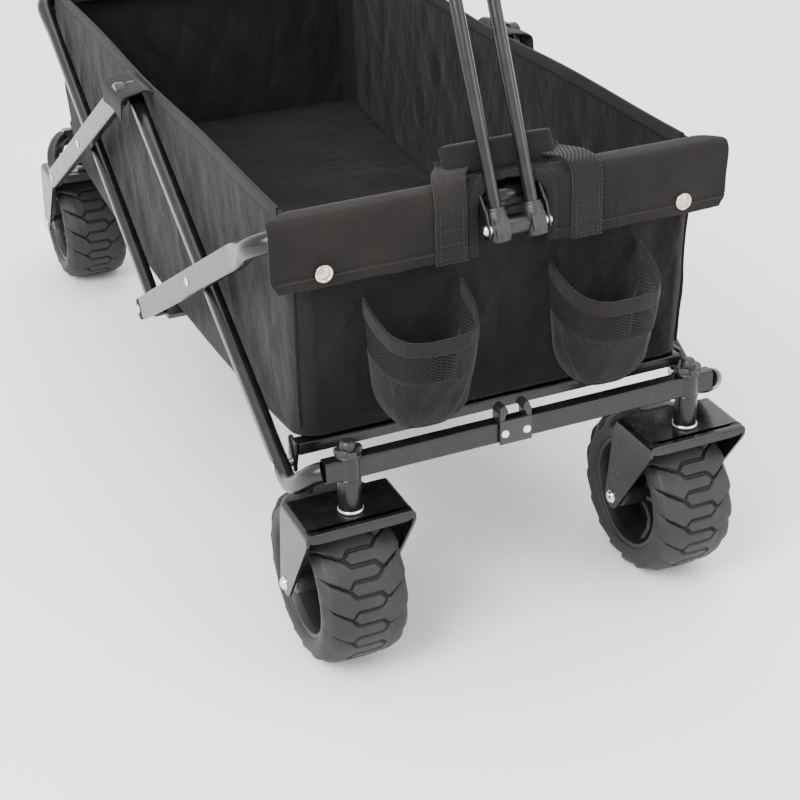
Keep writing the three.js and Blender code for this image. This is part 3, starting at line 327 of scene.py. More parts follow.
# %% Node helpers
def new_group(name, inputs, outputs):
    """An empty shader node group with float or vector inputs, float outputs and its two end nodes."""
    group = bpy.data.node_groups.new(name, "ShaderNodeTree")
    for label, kind, value in inputs:
        socket = group.interface.new_socket(label, in_out="INPUT", socket_type=kind)
        if value is not None:
            socket.default_value = value
    for label in outputs:
        group.interface.new_socket(label, in_out="OUTPUT", socket_type="NodeSocketFloat")
    return group, group.nodes.new("NodeGroupInput"), group.nodes.new("NodeGroupOutput")


def math_node(tree, operation, first, second=None, third=None):
    """A Math node; each value is a number or another node's output."""
    node = tree.nodes.new("ShaderNodeMath")
    node.operation = operation
    for socket, value in zip(node.inputs, (first, second, third)):
        if value is None:
            continue
        if isinstance(value, (int, float)):
            socket.default_value = value
        else:
            tree.links.new(value, socket)
    return node.outputs[0]


def noise_node(tree, vector, scale, detail=3.0, roughness=0.5):
    node = tree.nodes.new("ShaderNodeTexNoise")
    node.inputs["Scale"].default_value = scale
    node.inputs["Detail"].default_value = detail
    node.inputs["Roughness"].default_value = roughness
    tree.links.new(vector, node.inputs["Vector"])
    return node.outputs["Fac"]


# %% Shared groups
def threads_group():
    """Plain weave: rounded warp and weft threads that take turns on top. Pitch is one thread in metres."""
    group, start, end = new_group("threads", [("UV", "NodeSocketVector", None),
                                              ("Pitch", "NodeSocketFloat", 0.001)],
                                  ["Height", "Over"])
    split = group.nodes.new("ShaderNodeSeparateXYZ")
    group.links.new(start.outputs["UV"], split.inputs[0])
    turns = math_node(group, "DIVIDE", math.pi, start.outputs["Pitch"])
    warp = math_node(group, "SINE", math_node(group, "MULTIPLY", split.outputs["X"], turns))
    weft = math_node(group, "SINE", math_node(group, "MULTIPLY", split.outputs["Y"], turns))
    over = math_node(group, "GREATER_THAN", math_node(group, "MULTIPLY", warp, weft), 0.0)
    warp_high = math_node(group, "ABSOLUTE", warp)
    weft_high = math_node(group, "ABSOLUTE", weft)
    picked = math_node(group, "ADD", math_node(group, "MULTIPLY", warp_high, over),
                       math_node(group, "MULTIPLY", weft_high, math_node(group, "SUBTRACT", 1.0, over)))
    group.links.new(picked, end.inputs["Height"])
    group.links.new(over, end.inputs["Over"])
    return group


def grain_group():
    """Fine and broad noise on the piece's own coordinates, for roughness, colour and bump."""
    group, start, end = new_group("grain", [("Place", "NodeSocketVector", None),
                                            ("Scale", "NodeSocketFloat", 400.0)],
                                  ["Fine", "Broad"])
    for label, share in (("Fine", 1.0), ("Broad", 0.06)):
        node = group.nodes.new("ShaderNodeTexNoise")
        node.inputs["Detail"].default_value = 4.0
        group.links.new(start.outputs["Place"], node.inputs["Vector"])
        group.links.new(math_node(group, "MULTIPLY", start.outputs["Scale"], share), node.inputs["Scale"])
        group.links.new(node.outputs["Fac"], end.inputs[label])
    return group


def wear_group():
    """Edges that have been rubbed: where the surface is sharply convex, broken up by noise."""
    group, start, end = new_group("edge_wear",
                                  [("Place", "NodeSocketVector", None), ("Reach", "NodeSocketFloat", 0.56)],
                                  ["Mask"])
    shape = group.nodes.new("ShaderNodeNewGeometry")
    patch = noise_node(group, start.outputs["Place"], 60.0)
    limit = math_node(group, "ADD", start.outputs["Reach"], math_node(group, "MULTIPLY", patch, 0.08))
    group.links.new(math_node(group, "MULTIPLY",
                              math_node(group, "SUBTRACT", shape.outputs["Pointiness"], limit), 12.0),
                    end.inputs["Mask"])
    return group


def dust_group():
    """Dry sand dust: thicker on faces that look up, in soft patches."""
    group, start, end = new_group("dust", [("Place", "NodeSocketVector", None),
                                           ("Amount", "NodeSocketFloat", 0.2)],
                                  ["Mask"])
    shape = group.nodes.new("ShaderNodeNewGeometry")
    split = group.nodes.new("ShaderNodeSeparateXYZ")
    group.links.new(shape.outputs["Normal"], split.inputs[0])
    upward = math_node(group, "MAXIMUM", split.outputs["Z"], 0.0)
    patch = noise_node(group, start.outputs["Place"], 35.0, 5.0, 0.65)
    mask = math_node(group, "MULTIPLY", math_node(group, "MULTIPLY", upward, patch), start.outputs["Amount"])
    group.links.new(mask, end.inputs["Mask"])
    return group


THREADS, GRAIN, WEAR, DUST = threads_group(), grain_group(), wear_group(), dust_group()
print("groups:", [g.name for g in (THREADS, GRAIN, WEAR, DUST)])


# %% Finish builder
class Finish:
    """A material in the making: its tree, its shader and the coordinates that its patterns read."""

    def __init__(self, name, roughness, metallic=0.0):
        self.material = bpy.data.materials.new(name)
        self.material.use_nodes = True
        self.tree = self.material.node_tree
        self.shader = self.tree.nodes["Principled BSDF"]
        self.shader.inputs["Metallic"].default_value = metallic
        self.shader.inputs["Roughness"].default_value = roughness
        coordinates = self.tree.nodes.new("ShaderNodeTexCoord")
        self.place, self.uv = coordinates.outputs["Object"], coordinates.outputs["UV"]
        self.height = None

    def group(self, group, vector, value=None):
        node = self.tree.nodes.new("ShaderNodeGroup")
        node.node_tree = group
        self.tree.links.new(vector, node.inputs[0])
        if value is not None:
            node.inputs[1].default_value = value
        return node.outputs

    def colour(self, mask, *stops):
        """Base colour from a mask through a ramp of (position, colour) stops."""
        ramp = self.tree.nodes.new("ShaderNodeValToRGB")
        for element, (position, colour) in zip(ramp.color_ramp.elements, (stops[0], stops[-1])):
            element.position, element.color = position, (*colour, 1.0)
        for position, colour in stops[1:-1]:
            ramp.color_ramp.elements.new(position).color = (*colour, 1.0)
        self.tree.links.new(mask, ramp.inputs["Fac"])
        return ramp.outputs["Color"]

    def mix(self, mask, first, second):
        node = self.tree.nodes.new("ShaderNodeMix")
        node.data_type = "RGBA"
        node.clamp_factor = True
        self.tree.links.new(mask, node.inputs["Factor"])
        self.tree.links.new(first, node.inputs["A"])
        node.inputs["B"].default_value = (*second, 1.0)
        return node.outputs["Result"]

    def feed(self, socket, value):
        self.tree.links.new(value, self.shader.inputs[socket])

    def roughen(self, mask, low, high):
        """Roughness between low and high, as a mask goes from 0 to 1."""
        self.feed("Roughness", math_node(self.tree, "MULTIPLY_ADD", mask, high - low, low))

    def bump(self, height, strength, distance):
        node = self.tree.nodes.new("ShaderNodeBump")
        node.inputs["Strength"].default_value = strength
        node.inputs["Distance"].default_value = distance
        self.tree.links.new(height, node.inputs["Height"])
        if self.height is not None:
            self.tree.links.new(self.height, node.inputs["Normal"])
        self.height = node.outputs["Normal"]
        self.feed("Normal", self.height)


# %% Metals
def painted_steel(name, dark, light, roughness, coat):
    """Gloss paint over steel: faint orange peel, patches of rubbed gloss and bare steel on rubbed edges."""
    finish = Finish(name, roughness)
    fine, broad = finish.group(GRAIN, finish.place, 900.0)
    base = finish.colour(broad, (0.35, dark), (0.7, light))
    worn = finish.group(WEAR, finish.place, 0.6)[0]
    finish.feed("Base Color", finish.mix(worn, base, (0.16, 0.15, 0.14)))
    finish.roughen(broad, roughness - 0.06, roughness + 0.09)
    finish.shader.inputs["Specular IOR Level"].default_value = 0.32
    finish.shader.inputs["Coat Weight"].default_value = coat
    finish.shader.inputs["Coat Roughness"].default_value = 0.16
    finish.bump(fine, 0.08, 0.0004)
    return finish.material


def bright_metal(name, colour, roughness):
    """Plated metal with a faint grain and duller patches."""
    finish = Finish(name, roughness, metallic=1.0)
    fine, broad = finish.group(GRAIN, finish.place, 700.0)
    dull = tuple(0.72 * value for value in colour)
    finish.feed("Base Color", finish.colour(broad, (0.3, dull), (0.55, colour)))
    finish.roughen(fine, roughness, roughness + 0.16)
    finish.bump(fine, 0.06, 0.0003)
    return finish.material


FRAME_PAINT = painted_steel("gloss_black_frame", (0.0045, 0.0041, 0.0039), (0.0085, 0.0078, 0.0074), 0.25,
                            0.12)
HANDLE_PAINT = painted_steel("gunmetal_handle", (0.0065, 0.0062, 0.0062), (0.012, 0.0115, 0.0112), 0.22, 0.25)
CHROME = bright_metal("bright_zinc", (0.80, 0.79, 0.77), 0.14)
BRIGHT_ROD = bright_metal("bright_rod", (0.66, 0.655, 0.65), 0.2)
NICKEL = bright_metal("pink_nickel", (0.74, 0.60, 0.56), 0.18)


# %% Plastics and rubber
def moulded(name, dark, light, roughness, grain, strength):
    """Moulded plastic: a fine spark texture, uneven sheen and paler rubbed edges."""
    finish = Finish(name, roughness)
    fine, broad = finish.group(GRAIN, finish.place, grain)
    worn = finish.group(WEAR, finish.place, 0.58)[0]
    base = finish.colour(broad, (0.3, dark), (0.7, light))
    finish.feed("Base Color", finish.mix(worn, base, tuple(2.6 * value for value in light)))
    finish.roughen(fine, roughness - 0.08, roughness + 0.1)
    finish.bump(fine, strength, 0.0005)
    return finish.material


def tyre_rubber():
    """Matte moulded rubber with a fine grain and a little dust."""
    finish = Finish("tyre_rubber", 0.72)
    fine, broad = finish.group(GRAIN, finish.place, 520.0)
    base = finish.colour(broad, (0.3, (0.0095, 0.0088, 0.0084)), (0.7, (0.0165, 0.0153, 0.0145)))
    dusty = finish.group(DUST, finish.place, 0.14)[0]
    finish.feed("Base Color", finish.mix(dusty, base, (0.10, 0.09, 0.08)))
    finish.shader.inputs["Specular IOR Level"].default_value = 0.4
    finish.roughen(fine, 0.5, 0.7)
    finish.bump(fine, 0.2, 0.0006)
    return finish.material


SATIN_PLASTIC = moulded("satin_black_plastic", (0.008, 0.0075, 0.0072), (0.014, 0.013, 0.0125), 0.42, 900.0,
                        0.18)
HUB_PLASTIC = moulded("hub_plastic", (0.007, 0.0066, 0.0064), (0.012, 0.0112, 0.0108), 0.45, 800.0, 0.15)
GRIP_PLASTIC = moulded("soft_grip", (0.010, 0.0095, 0.0092), (0.018, 0.017, 0.0165), 0.6, 1400.0, 0.3)
RUBBER = tyre_rubber()


# %% Cloth
def woven(name, dark, light, pitch, strength, roughness=0.82, sheen=0.06, crumple=0.8):
    """Coated polyester: a plain weave in the surface's own UV map, over soft creases and faded patches."""
    finish = Finish(name, roughness)
    height, over = finish.group(THREADS, finish.uv, pitch)
    fine, broad = finish.group(GRAIN, finish.place, 260.0)
    shade = math_node(finish.tree, "MULTIPLY_ADD", over, 0.12, math_node(finish.tree, "MULTIPLY", broad, 0.9))
    finish.feed("Base Color", finish.colour(shade, (0.25, dark), (0.75, light)))
    finish.roughen(fine, roughness - 0.12, min(roughness + 0.1, 1.0))
    finish.shader.inputs["Sheen Weight"].default_value = sheen
    finish.shader.inputs["Sheen Roughness"].default_value = 0.45
    finish.shader.inputs["Specular IOR Level"].default_value = 0.16
    finish.bump(noise_node(finish.tree, finish.place, 22.0, 5.0, 0.55), crumple, 0.006)
    finish.bump(height, strength, 0.0005)
    return finish.material


BAG_CLOTH = woven("bag_cloth", (0.0042, 0.0037, 0.0035), (0.0092, 0.0081, 0.0076), 0.0009, 0.35)
FLAP_CLOTH = woven("flap_cloth", (0.0068, 0.0061, 0.0057), (0.0135, 0.012, 0.0112), 0.0009, 0.35,
                   crumple=0.35)
CUP_CLOTH = woven("cup_cloth", (0.0052, 0.0046, 0.0044), (0.0108, 0.0096, 0.009), 0.0007, 0.3)
BINDING = woven("binding_tape", (0.0065, 0.0058, 0.0055), (0.0135, 0.012, 0.0113), 0.0008, 0.5, sheen=0.06,
                crumple=0.1)
WEBBING = woven("ribbed_webbing", (0.0050, 0.0045, 0.0042), (0.0150, 0.0134, 0.0125), 0.0022, 0.95,
                sheen=0.1, crumple=0.08)
NET_CORD = moulded("net_cord", (0.007, 0.0065, 0.0062), (0.013, 0.012, 0.0115), 0.5, 1200.0, 0.1)
THREAD = moulded("sewing_thread", (0.010, 0.009, 0.0085), (0.02, 0.018, 0.017), 0.5, 2000.0, 0.2)
print("finishes:", len(bpy.data.materials))

# %% [markdown]
# ## Wheels
# Each tyre is a wide ring with a tread of blocks that reach in from the two shoulders by turns, like a zip:
# each block ends in a six-sided head across the middle. The grooves between them are a net of straight
# lines, so the tread's depth at a point depends only on its distance to the nearest line.

# %% Tyre
TYRE_ROUND, TYRE_ACROSS = 540, 112
BLOCKS = 18
GROOVE_HALF = 1.25
GROOVE_DEPTH = 3.6
HEAD_HALF, HEAD_TIP = 12.0, 18.5
SIDE_SWEEP = 0.62
STEP_DROP = 4.2
MOULD_LINE = 0.35
wheel_low, wheel_high = node_box("tyre_front_left")
WHEEL_RADIUS = (wheel_high[2] - wheel_low[2]) / 2
TYRE_HALF = (wheel_high[0] - wheel_low[0]) / 2
RIM_RADIUS = 58.0


def groove_lines(pitch):
    """The grooves of one pitch as (across, along) pairs: level ones by the heads, tips and side sweeps."""
    quarter, reach = pitch / 4, 75.0
    sweep = SIDE_SWEEP * (reach - HEAD_TIP)
    lines = []
    for side, phase in ((-1, 2 * quarter), (1, 0.0)):
        lines.append(((-HEAD_HALF, phase + quarter), (HEAD_HALF, phase + quarter)))
        lines.append(((side * HEAD_HALF, phase - quarter), (side * HEAD_TIP, phase)))
        lines.append(((side * HEAD_TIP, phase), (side * HEAD_HALF, phase + quarter)))
        lines.append(((side * HEAD_TIP, phase), (side * reach, phase + sweep)))
    return lines


def distance_to(across, along, line):
    """How far each (across, along) point is from a straight line between two points."""
    (x0, a0), (x1, a1) = line
    dx, da = x1 - x0, a1 - a0
    t = np.clip(((across - x0) * dx + (along - a0) * da) / (dx * dx + da * da), 0, 1)
    return np.hypot(across - x0 - t * dx, along - a0 - t * da)


def tread_depth(across, along, pitch):
    """How far the rubber stands below the ring: grooves, and blocks that each slope down to the next."""
    nearest = np.full(across.shape, 99.0)
    for line in groove_lines(pitch):
        for turn in (-3, -2, -1, 0, 1):
            nearest = np.minimum(nearest, distance_to(across, along % pitch,
                                                      tuple((x, a + turn * pitch) for x, a in line)))
    groove = GROOVE_DEPTH * (1 - smoothstep(GROOVE_HALF * 0.7, GROOVE_HALF * 1.7, nearest))
    phase = np.where(across < 0, pitch / 2, 0.0)
    behind = ((along - phase - SIDE_SWEEP * (np.abs(across) - HEAD_TIP)) / pitch) % 1.0
    step = STEP_DROP * behind ** 1.6 * smoothstep(HEAD_TIP - 4, HEAD_TIP + 9, np.abs(across))
    return groove + step


def tyre_shell(centre):
    """A closed outline turned about the axle, with the tread let into its outer side."""
    half, top = TYRE_HALF, WHEEL_RADIUS
    side = [(half - 7, RIM_RADIUS + 0.3), (half - 1.5, RIM_RADIUS + 3), (half, 68), (half - 0.3, top - 13),
            (half - 5, top - 5), (half - 17, top - 0.8), (0, top)]
    right = np.array(side, float)
    outline = np.concatenate([right * [-1, 1], right[::-1][1:]])
    outline = resample(soften(outline, 9, 5), TYRE_ACROSS)
    distance = np.cumsum(np.linalg.norm(np.diff(outline, axis=0, prepend=outline[:1]), axis=1))
    across = distance - distance[-1] / 2
    run = unit(np.gradient(outline, axis=0))
    outward = np.stack([-run[:, 1], run[:, 0]], -1)
    angle = np.linspace(0, 2 * np.pi, TYRE_ROUND, endpoint=False)[:, None]
    depth = tread_depth(np.broadcast_to(across, (TYRE_ROUND, TYRE_ACROSS)), angle * top,
                        2 * np.pi * top / BLOCKS)
    depth = depth * smoothstep(70, 76, outline[:, 1]) - MOULD_LINE * np.exp(-(across / 0.7) ** 2)
    x = outline[:, 0] - outward[:, 0] * depth
    radius = np.minimum(outline[:, 1] - outward[:, 1] * depth, top)
    bore = np.stack([np.linspace(outline[-1, 0], outline[0, 0], 8)[1:-1], np.full(6, RIM_RADIUS + 0.3)], -1)
    x = np.concatenate([x, np.broadcast_to(bore[:, 0], (TYRE_ROUND, 6))], 1)
    radius = np.concatenate([radius, np.broadcast_to(bore[:, 1], (TYRE_ROUND, 6))], 1)
    grid = np.stack([x, radius * np.sin(angle), radius * np.cos(angle)], -1) + centre
    return grid_shell(grid, wrap_rows=True, wrap_columns=True)


# %% Hub
SPOKES = 6


def hub_shells(centre, boss_half):
    """A dished rim, a boss on the axle, a thin web half way in and spokes that widen into the rim."""
    rim = soften([(-38.5, 59.4), (-36.5, 60.6), (-34, 58), (34, 58), (36.5, 60.6), (38.5, 59.4), (38, 55.6),
                  (30, 54), (6, 52.6), (-6, 52.6), (-30, 54), (-38, 55.6), (-38.5, 59.4)], 1.2, 4)
    boss = soften([(-boss_half, 5.2), (-boss_half, 12.2), (-boss_half + 6, 13), (-8, 15), (8, 15),
                   (boss_half - 6, 13), (boss_half, 12.2), (boss_half, 5.2), (-boss_half, 5.2)], 1.0, 4)
    web = [(-2.5, 13), (-2.5, 53.5), (2.5, 53.5), (2.5, 13), (-2.5, 13)]
    rings = [turned(ring, centre, ring=True, segments=72) for ring in (rim, boss, web)]
    spokes = []
    for turn in np.arange(SPOKES) * 2 * np.pi / SPOKES + 0.3:
        out = np.array([0, math.sin(turn), math.cos(turn)])
        radius = np.array([12.0, 22, 34, 45, 53.4])
        half_deep = np.array([22.0, 17, 15, 18, 27])
        section = round_box(half_deep, np.full(5, 3.0), np.full(5, 1.4), 4)
        spokes.append(rod(centre + radius[:, None] * out, np.cross(out, [1.0, 0, 0]), section))
    return rings + spokes


CORNERS = [(end, side) for end in ("front", "rear") for side in ("left", "right")]


def make_wheels():
    for end, side in CORNERS:
        name = f"{end}_{side}"
        centre = node_middle(f"tyre_{name}")
        body = body_of(f"tyre_{name}")
        hub_low, hub_high = node_box(f"hub_{name}")
        piece(f"tyre_tread_{name}", [tyre_shell(centre)], RUBBER, body, [f"tyre_{name}"])
        piece(f"wheel_hub_{name}", hub_shells(centre, (hub_high[0] - hub_low[0]) / 2), HUB_PLASTIC,
              body, [f"hub_{name}"])
        print(f"wheel {name}: centre {centre.round(1)}, radius {WHEEL_RADIUS:.1f}")


make_wheels()

# %% [markdown]
# ## Forks, bolts and posts
# A fork is one strip of steel bent down twice round the wheel, with a lip folded down along its front. The
# strip is a grid: along it runs the bent outline, and its two edges close in to a round eye at the axle.

# %% Fork
FORK_SHEET = 3.0
PLATE_TOP_Z = 183.0
EYE_RADIUS = 13.0
LIP_DEEP = 11.0
LEG_MIDDLE_X = 53.5


def fork_edges(z, trail, front, rear, top):
    """The strip's front and rear edge at each height: straight down to the eye, then round it."""
    above = np.hypot(trail - front, top - LIP_DEEP - WHEEL_RADIUS)
    cosine = EYE_RADIUS / above
    lean = np.array([front - trail, top - LIP_DEEP - WHEEL_RADIUS]) / above
    touch = EYE_RADIUS * (cosine * lean + math.sqrt(1 - cosine ** 2) * np.array([-lean[1], lean[0]]))
    touch_y, touch_z = trail + touch[0], WHEEL_RADIUS + touch[1]
    round_part = np.sqrt(np.maximum(EYE_RADIUS ** 2 - (z - WHEEL_RADIUS) ** 2, 0))
    straight = np.interp(z, [touch_z, top - LIP_DEEP], [touch_y, front])
    front_edge = np.where(z < touch_z, trail - round_part, straight)
    back_line = np.interp(z, [WHEEL_RADIUS, top - LIP_DEEP, top], [trail + EYE_RADIUS, rear + 7, rear])
    rear_edge = np.where(z < WHEEL_RADIUS, trail + round_part, back_line)
    return front_edge, rear_edge


def fork_shells(x, post_y, trail, front, rear, top):
    low = WHEEL_RADIUS - EYE_RADIUS
    middle = top - FORK_SHEET / 2
    steps = 1 - np.cos(np.linspace(0, np.pi / 2, 10))
    leg = np.stack([np.full(22, -LEG_MIDDLE_X), np.concatenate([low + EYE_RADIUS * steps,
                    np.linspace(low + EYE_RADIUS, middle - 9, 13)[1:]])], -1)
    bend = soften([(-LEG_MIDDLE_X, middle - 9.1), (-LEG_MIDDLE_X, middle), (0, middle)], 6.5, 7)
    half = np.concatenate([leg, bend[1:]])
    strip = np.concatenate([half, half[::-1][1:] * [-1, 1]])
    front_edge, rear_edge = fork_edges(strip[:, 1], trail, front, rear, middle)
    share = np.linspace(0, 1, 9)
    y = front_edge[:, None] * (1 - share) + rear_edge[:, None] * share
    grid = np.stack([np.repeat(strip[:, :1], 9, 1), y, np.repeat(strip[:, 1:], 9, 1)], -1)
    place = np.array([x, post_y, 0.0])
    fold = soften([(front + 9, middle), (front + 1.5, middle), (front + 1.5, top - LIP_DEEP)], 3.2, 6)
    lip_x = np.linspace(-LEG_MIDDLE_X + 1.5, LEG_MIDDLE_X - 1.5, 24)
    drop = 1 - 0.35 * (np.abs(lip_x) / LEG_MIDDLE_X) ** 12
    lip = np.stack([np.repeat(lip_x[:, None], len(fold), 1), np.repeat(fold[None, :, 0], 24, 0),
                    middle - (middle - fold[None, :, 1]) * drop[:, None]], -1)
    return [grid_shell(grid + place), grid_shell(lip + place)]


BOLT_HEAD = [(0, 7.0), (1.0, 7.0), (1.3, 6.2), (3.0, 5.4), (4.3, 3.2), (4.7, 0.0)]


def bolt_heads(centre, half, scale=1.0):
    """A washer with a domed head on each end of an axle or bolt."""
    head = soften(np.array(BOLT_HEAD) * scale, 0.5 * scale, 3)
    right = np.array([(half + a, r) for a, r in head])
    full = np.concatenate([right[::-1], right * [-1, 1]])
    return turned(full, centre, segments=40)


def make_forks():
    for end, side in CORNERS:
        name = f"{end}_{side}"
        post = node_middle(f"cap_{name}")
        axle = node_middle(f"axle_{name}")
        low, _ = node_box(f"fork_{name}")
        axle_low, axle_high = node_box(f"axle_{name}")
        body = body_of(f"fork_{name}")
        made = piece(f"fork_steel_{name}", fork_shells(post[0], post[1], axle[1] - post[1],
                                                       low[1] - post[1], 38.0, PLATE_TOP_Z),
                     FRAME_PAINT, body, [f"fork_{name}"], thickness=FORK_SHEET)
        edge = made.modifiers.new("rolled_edge", "BEVEL")
        edge.width = 0.7 * MM
        edge.segments = 2
        made.modifiers.new("even_light", "WEIGHTED_NORMAL")
        piece(f"axle_bolt_{name}", [bolt_heads(axle, LEG_MIDDLE_X + FORK_SHEET / 2 + 0.2)], CHROME,
              body, [f"axle_{name}"])
        print(f"fork {name}: plate top {PLATE_TOP_Z}, axle {axle.round(1)},",
              f"bolt {axle_high[0] - axle_low[0]:.1f} long")


make_forks()

# %% [markdown]
# ## Crossbars, posts and caps
# Each crossbar is a flat-sided tube with a round post near each end. A moulded cap with four lobes closes
# the post, and on the front posts a bright ring shows where the caster turns.

# %% Crossbar and posts
POST_RADIUS = 11.3
POST_BORE = 6.3
WELD_LOW, WELD_MIDDLE, WELD_HIGH = 12.4, 11.4, 10
BAR_Z = 230.0
BAR_HALF_DEEP, BAR_HALF_HIGH = 7.5, 11
CAP_LOBES = 4


def crossbar_shells(node, end):
    low, high = node_box(node)
    middle = (low + high) / 2
    ends = np.array([(low[0], middle[1], BAR_Z), (high[0], middle[1], BAR_Z)])
    shells = [rod(ends, (0, 0, 1), round_box([BAR_HALF_DEEP] * 2, [BAR_HALF_HIGH] * 2, [2.6, 2.6], 6))]
    for side in ("left", "right"):
        post_x = node_middle(f"cap_{end}_{side}")[0]
        outline = soften([(low[2], POST_BORE), (low[2], POST_RADIUS), (high[2], POST_RADIUS),
                          (high[2], POST_BORE), (low[2], POST_BORE)], 0.7, 4)
        shells.append(turned(outline, (post_x, middle[1], 0), "z", 56, ring=True))
        weld = [(BAR_Z - WELD_LOW, POST_RADIUS - 0.3), (BAR_Z - WELD_MIDDLE, POST_RADIUS + 0.9),
                (BAR_Z - WELD_HIGH, POST_RADIUS - 0.3)]
        shells.append(turned(soften(weld, 0.6, 4), (post_x, middle[1], 0), "z", 40))
    return shells


def cap_shell(node):
    """A disc whose rim swells into lobes, a groove under it, and a tall round boss on top."""
    low, high = node_box(node)
    centre = node_middle(node)
    height = high[2] - low[2]
    angle = np.linspace(0, 2 * np.pi, 96, endpoint=False)[:, None]
    profile = soften([(0.0, 0.0), (12.4, 0.0), (12.7, 1.6), (11.9, 2.4), (12.6, 3.2), (12.8, 7.2),
                      (12.0, 8.8), (7.6, 8.4), (7.1, height - 2.6), (5.4, height - 0.3), (0.0, height)],
                     0.8, 4)
    lobed = smoothstep(2.6, 3.4, profile[:, 1]) * smoothstep(7.2, 9.0, profile[:, 0])
    swell = np.tanh(2.2 * np.cos(CAP_LOBES * angle))
    radius = profile[:, 0] * (1 + lobed * 0.13 * swell) - lobed * 0.6
    grid = np.stack([radius * np.cos(angle), radius * np.sin(angle),
                     np.broadcast_to(profile[:, 1], radius.shape)], -1)
    return grid_shell(grid + [centre[0], centre[1], low[2]], wrap_rows=True)


def make_carriages():
    for end in ("front", "rear"):
        node = f"{end}_crossbar"
        piece(f"{end}_crossbar_tube", crossbar_shells(node, end), FRAME_PAINT, body_of(node),
              [node], weighted=True)
        for side in ("left", "right"):
            cap = f"cap_{end}_{side}"
            piece(f"post_cap_{end}_{side}", [cap_shell(cap)], SATIN_PLASTIC,
                  body_of(cap), [cap])
            if end == "rear":
                continue
            washer = f"washer_front_{side}"
            low, high = node_box(washer)
            ring = soften([(low[2], 8.0), (low[2], 12.4), (low[2] + 1.7, 12.9), (high[2], 12.0),
                           (high[2], 8.0), (low[2], 8.0)], 0.7, 4)
            middle = node_middle(washer)
            piece(f"caster_ring_{side}", [turned(ring, (middle[0], middle[1], 0), "z", 56, ring=True)],
                  CHROME, body_of(washer), [washer])
        print(f"{end} crossbar:", [v.round(1).tolist() for v in node_box(node)])


make_carriages()

# %% [markdown]
# ## Folding links
# Each side has two crossed pairs of links. A link runs straight from the top pivot down past the crossing,
# then bends and goes on as a rail across the cart's end, or as a leg to the crossbar. One family of links is
# flattened strip outside, the other is oval tube inside, so they pass each other.

# %% Frame geometry
MIDDLE_Y = node_middle("middle_floor_bar")[1]
TOP_Z = 445.65
RAIL_Y = 455.12
RAIL_RADIUS = 10.0
OUTER_X, INNER_X = 238.5, 223.0
FLAT_HALF, OVAL_HALF = (5.5, 13.0), (8.0, 9.5)
SUPPORT_Y, SUPPORT_Z = 429.07, 204.37
PIVOT_TOP_Z, PIVOT_LOW_Z = 446.14, 189.2
LINK_OVERRUN = 14.0
LINK_RUN_Y, LINK_RUN_Z = 0.87121, 0.49091
LEG_END_X = 206.3
EASE_LENGTH = 42
LINK_UP = (0.0, 0.3, 1.0)
RAIL_BEND = 30


def facing(points, end):
    """Points written for the front end, mirrored in y for the rear one, then put in the cart's place."""
    points = np.array(points, float)
    points[..., 1] = MIDDLE_Y + points[..., 1] * (1 if end == "front" else -1)
    return points


def eased_section(flat_from, half_flat, corner):
    """Strip or oval where the link is straight, round tube along the rail, easing over between them."""
    share = smoothstep(0, EASE_LENGTH, flat_from)
    half_across = RAIL_RADIUS + (half_flat[0] - RAIL_RADIUS) * share
    half_up = RAIL_RADIUS + (half_flat[1] - RAIL_RADIUS) * share
    return round_box(half_across, half_up, np.minimum(RAIL_RADIUS + (corner - RAIL_RADIUS) * share,
                                                      np.minimum(half_across, half_up) - 0.05), 8)


def round_end(section, path, half_up, first):
    """Closes a link's end in a half circle, as seen from the side."""
    lengths = np.linalg.norm(path - path[0 if first else -1], axis=1)
    inside = np.clip(lengths / half_up, 0, 1)
    shrink = np.sqrt(np.clip(1 - (1 - inside) ** 2, 0.02, 1))
    section = section.copy()
    section[..., 1] *= shrink[:, None]
    return section


def rail_path(x, end):
    """Link end, straight run up past the top pivot's far side, bend, and half the rail."""
    slope = np.array([0.0, -LINK_RUN_Y, LINK_RUN_Z])
    start = np.array([x, 0.0, PIVOT_LOW_Z]) - slope * LINK_OVERRUN
    corner = np.array([x, -RAIL_Y, TOP_Z])
    return facing(soften([start, corner, (0, -RAIL_Y, TOP_Z)], RAIL_BEND, 14), end)


def dense(path, longest):
    """Adds points so that no straight stretch is longer than a given length."""
    parts = []
    for a, b in zip(path[:-1], path[1:]):
        count = max(1, int(math.ceil(np.linalg.norm(b - a) / longest)))
        parts.append(a + (b - a) * np.linspace(0, 1, count, endpoint=False)[:, None])
    return np.concatenate(parts + [path[-1:]])


def end_stations(path, reach):
    """Adds closely spaced stations in the first few millimetres, where the end is rounded."""
    run = unit(path[1] - path[0])
    near = reach * (1 - np.cos(np.linspace(0, np.pi / 2, 9)))
    return np.concatenate([path[0] + run * near[:, None], path[1:]])


def rail_shell(end, x, half_flat, corner):
    """Left link, rail and right link as one bent bar."""
    half = end_stations(dense(rail_path(x, end), 12), half_flat[1])
    whole = np.concatenate([half, half[::-1][1:] * [-1, 1, 1]])
    from_bend = np.abs(whole[:, 0]) - x
    drop = np.linalg.norm(whole[:, 1:] - [facing([(0, -RAIL_Y, 0)], end)[0, 1], TOP_Z], axis=1)
    flat_from = np.where(from_bend > -1.0, drop - 34, -1.0)
    section = eased_section(flat_from, half_flat, corner)
    section = round_end(section, whole, half_flat[1], True)
    section = round_end(section, whole, half_flat[1], False)
    return rod(whole, LINK_UP, section)


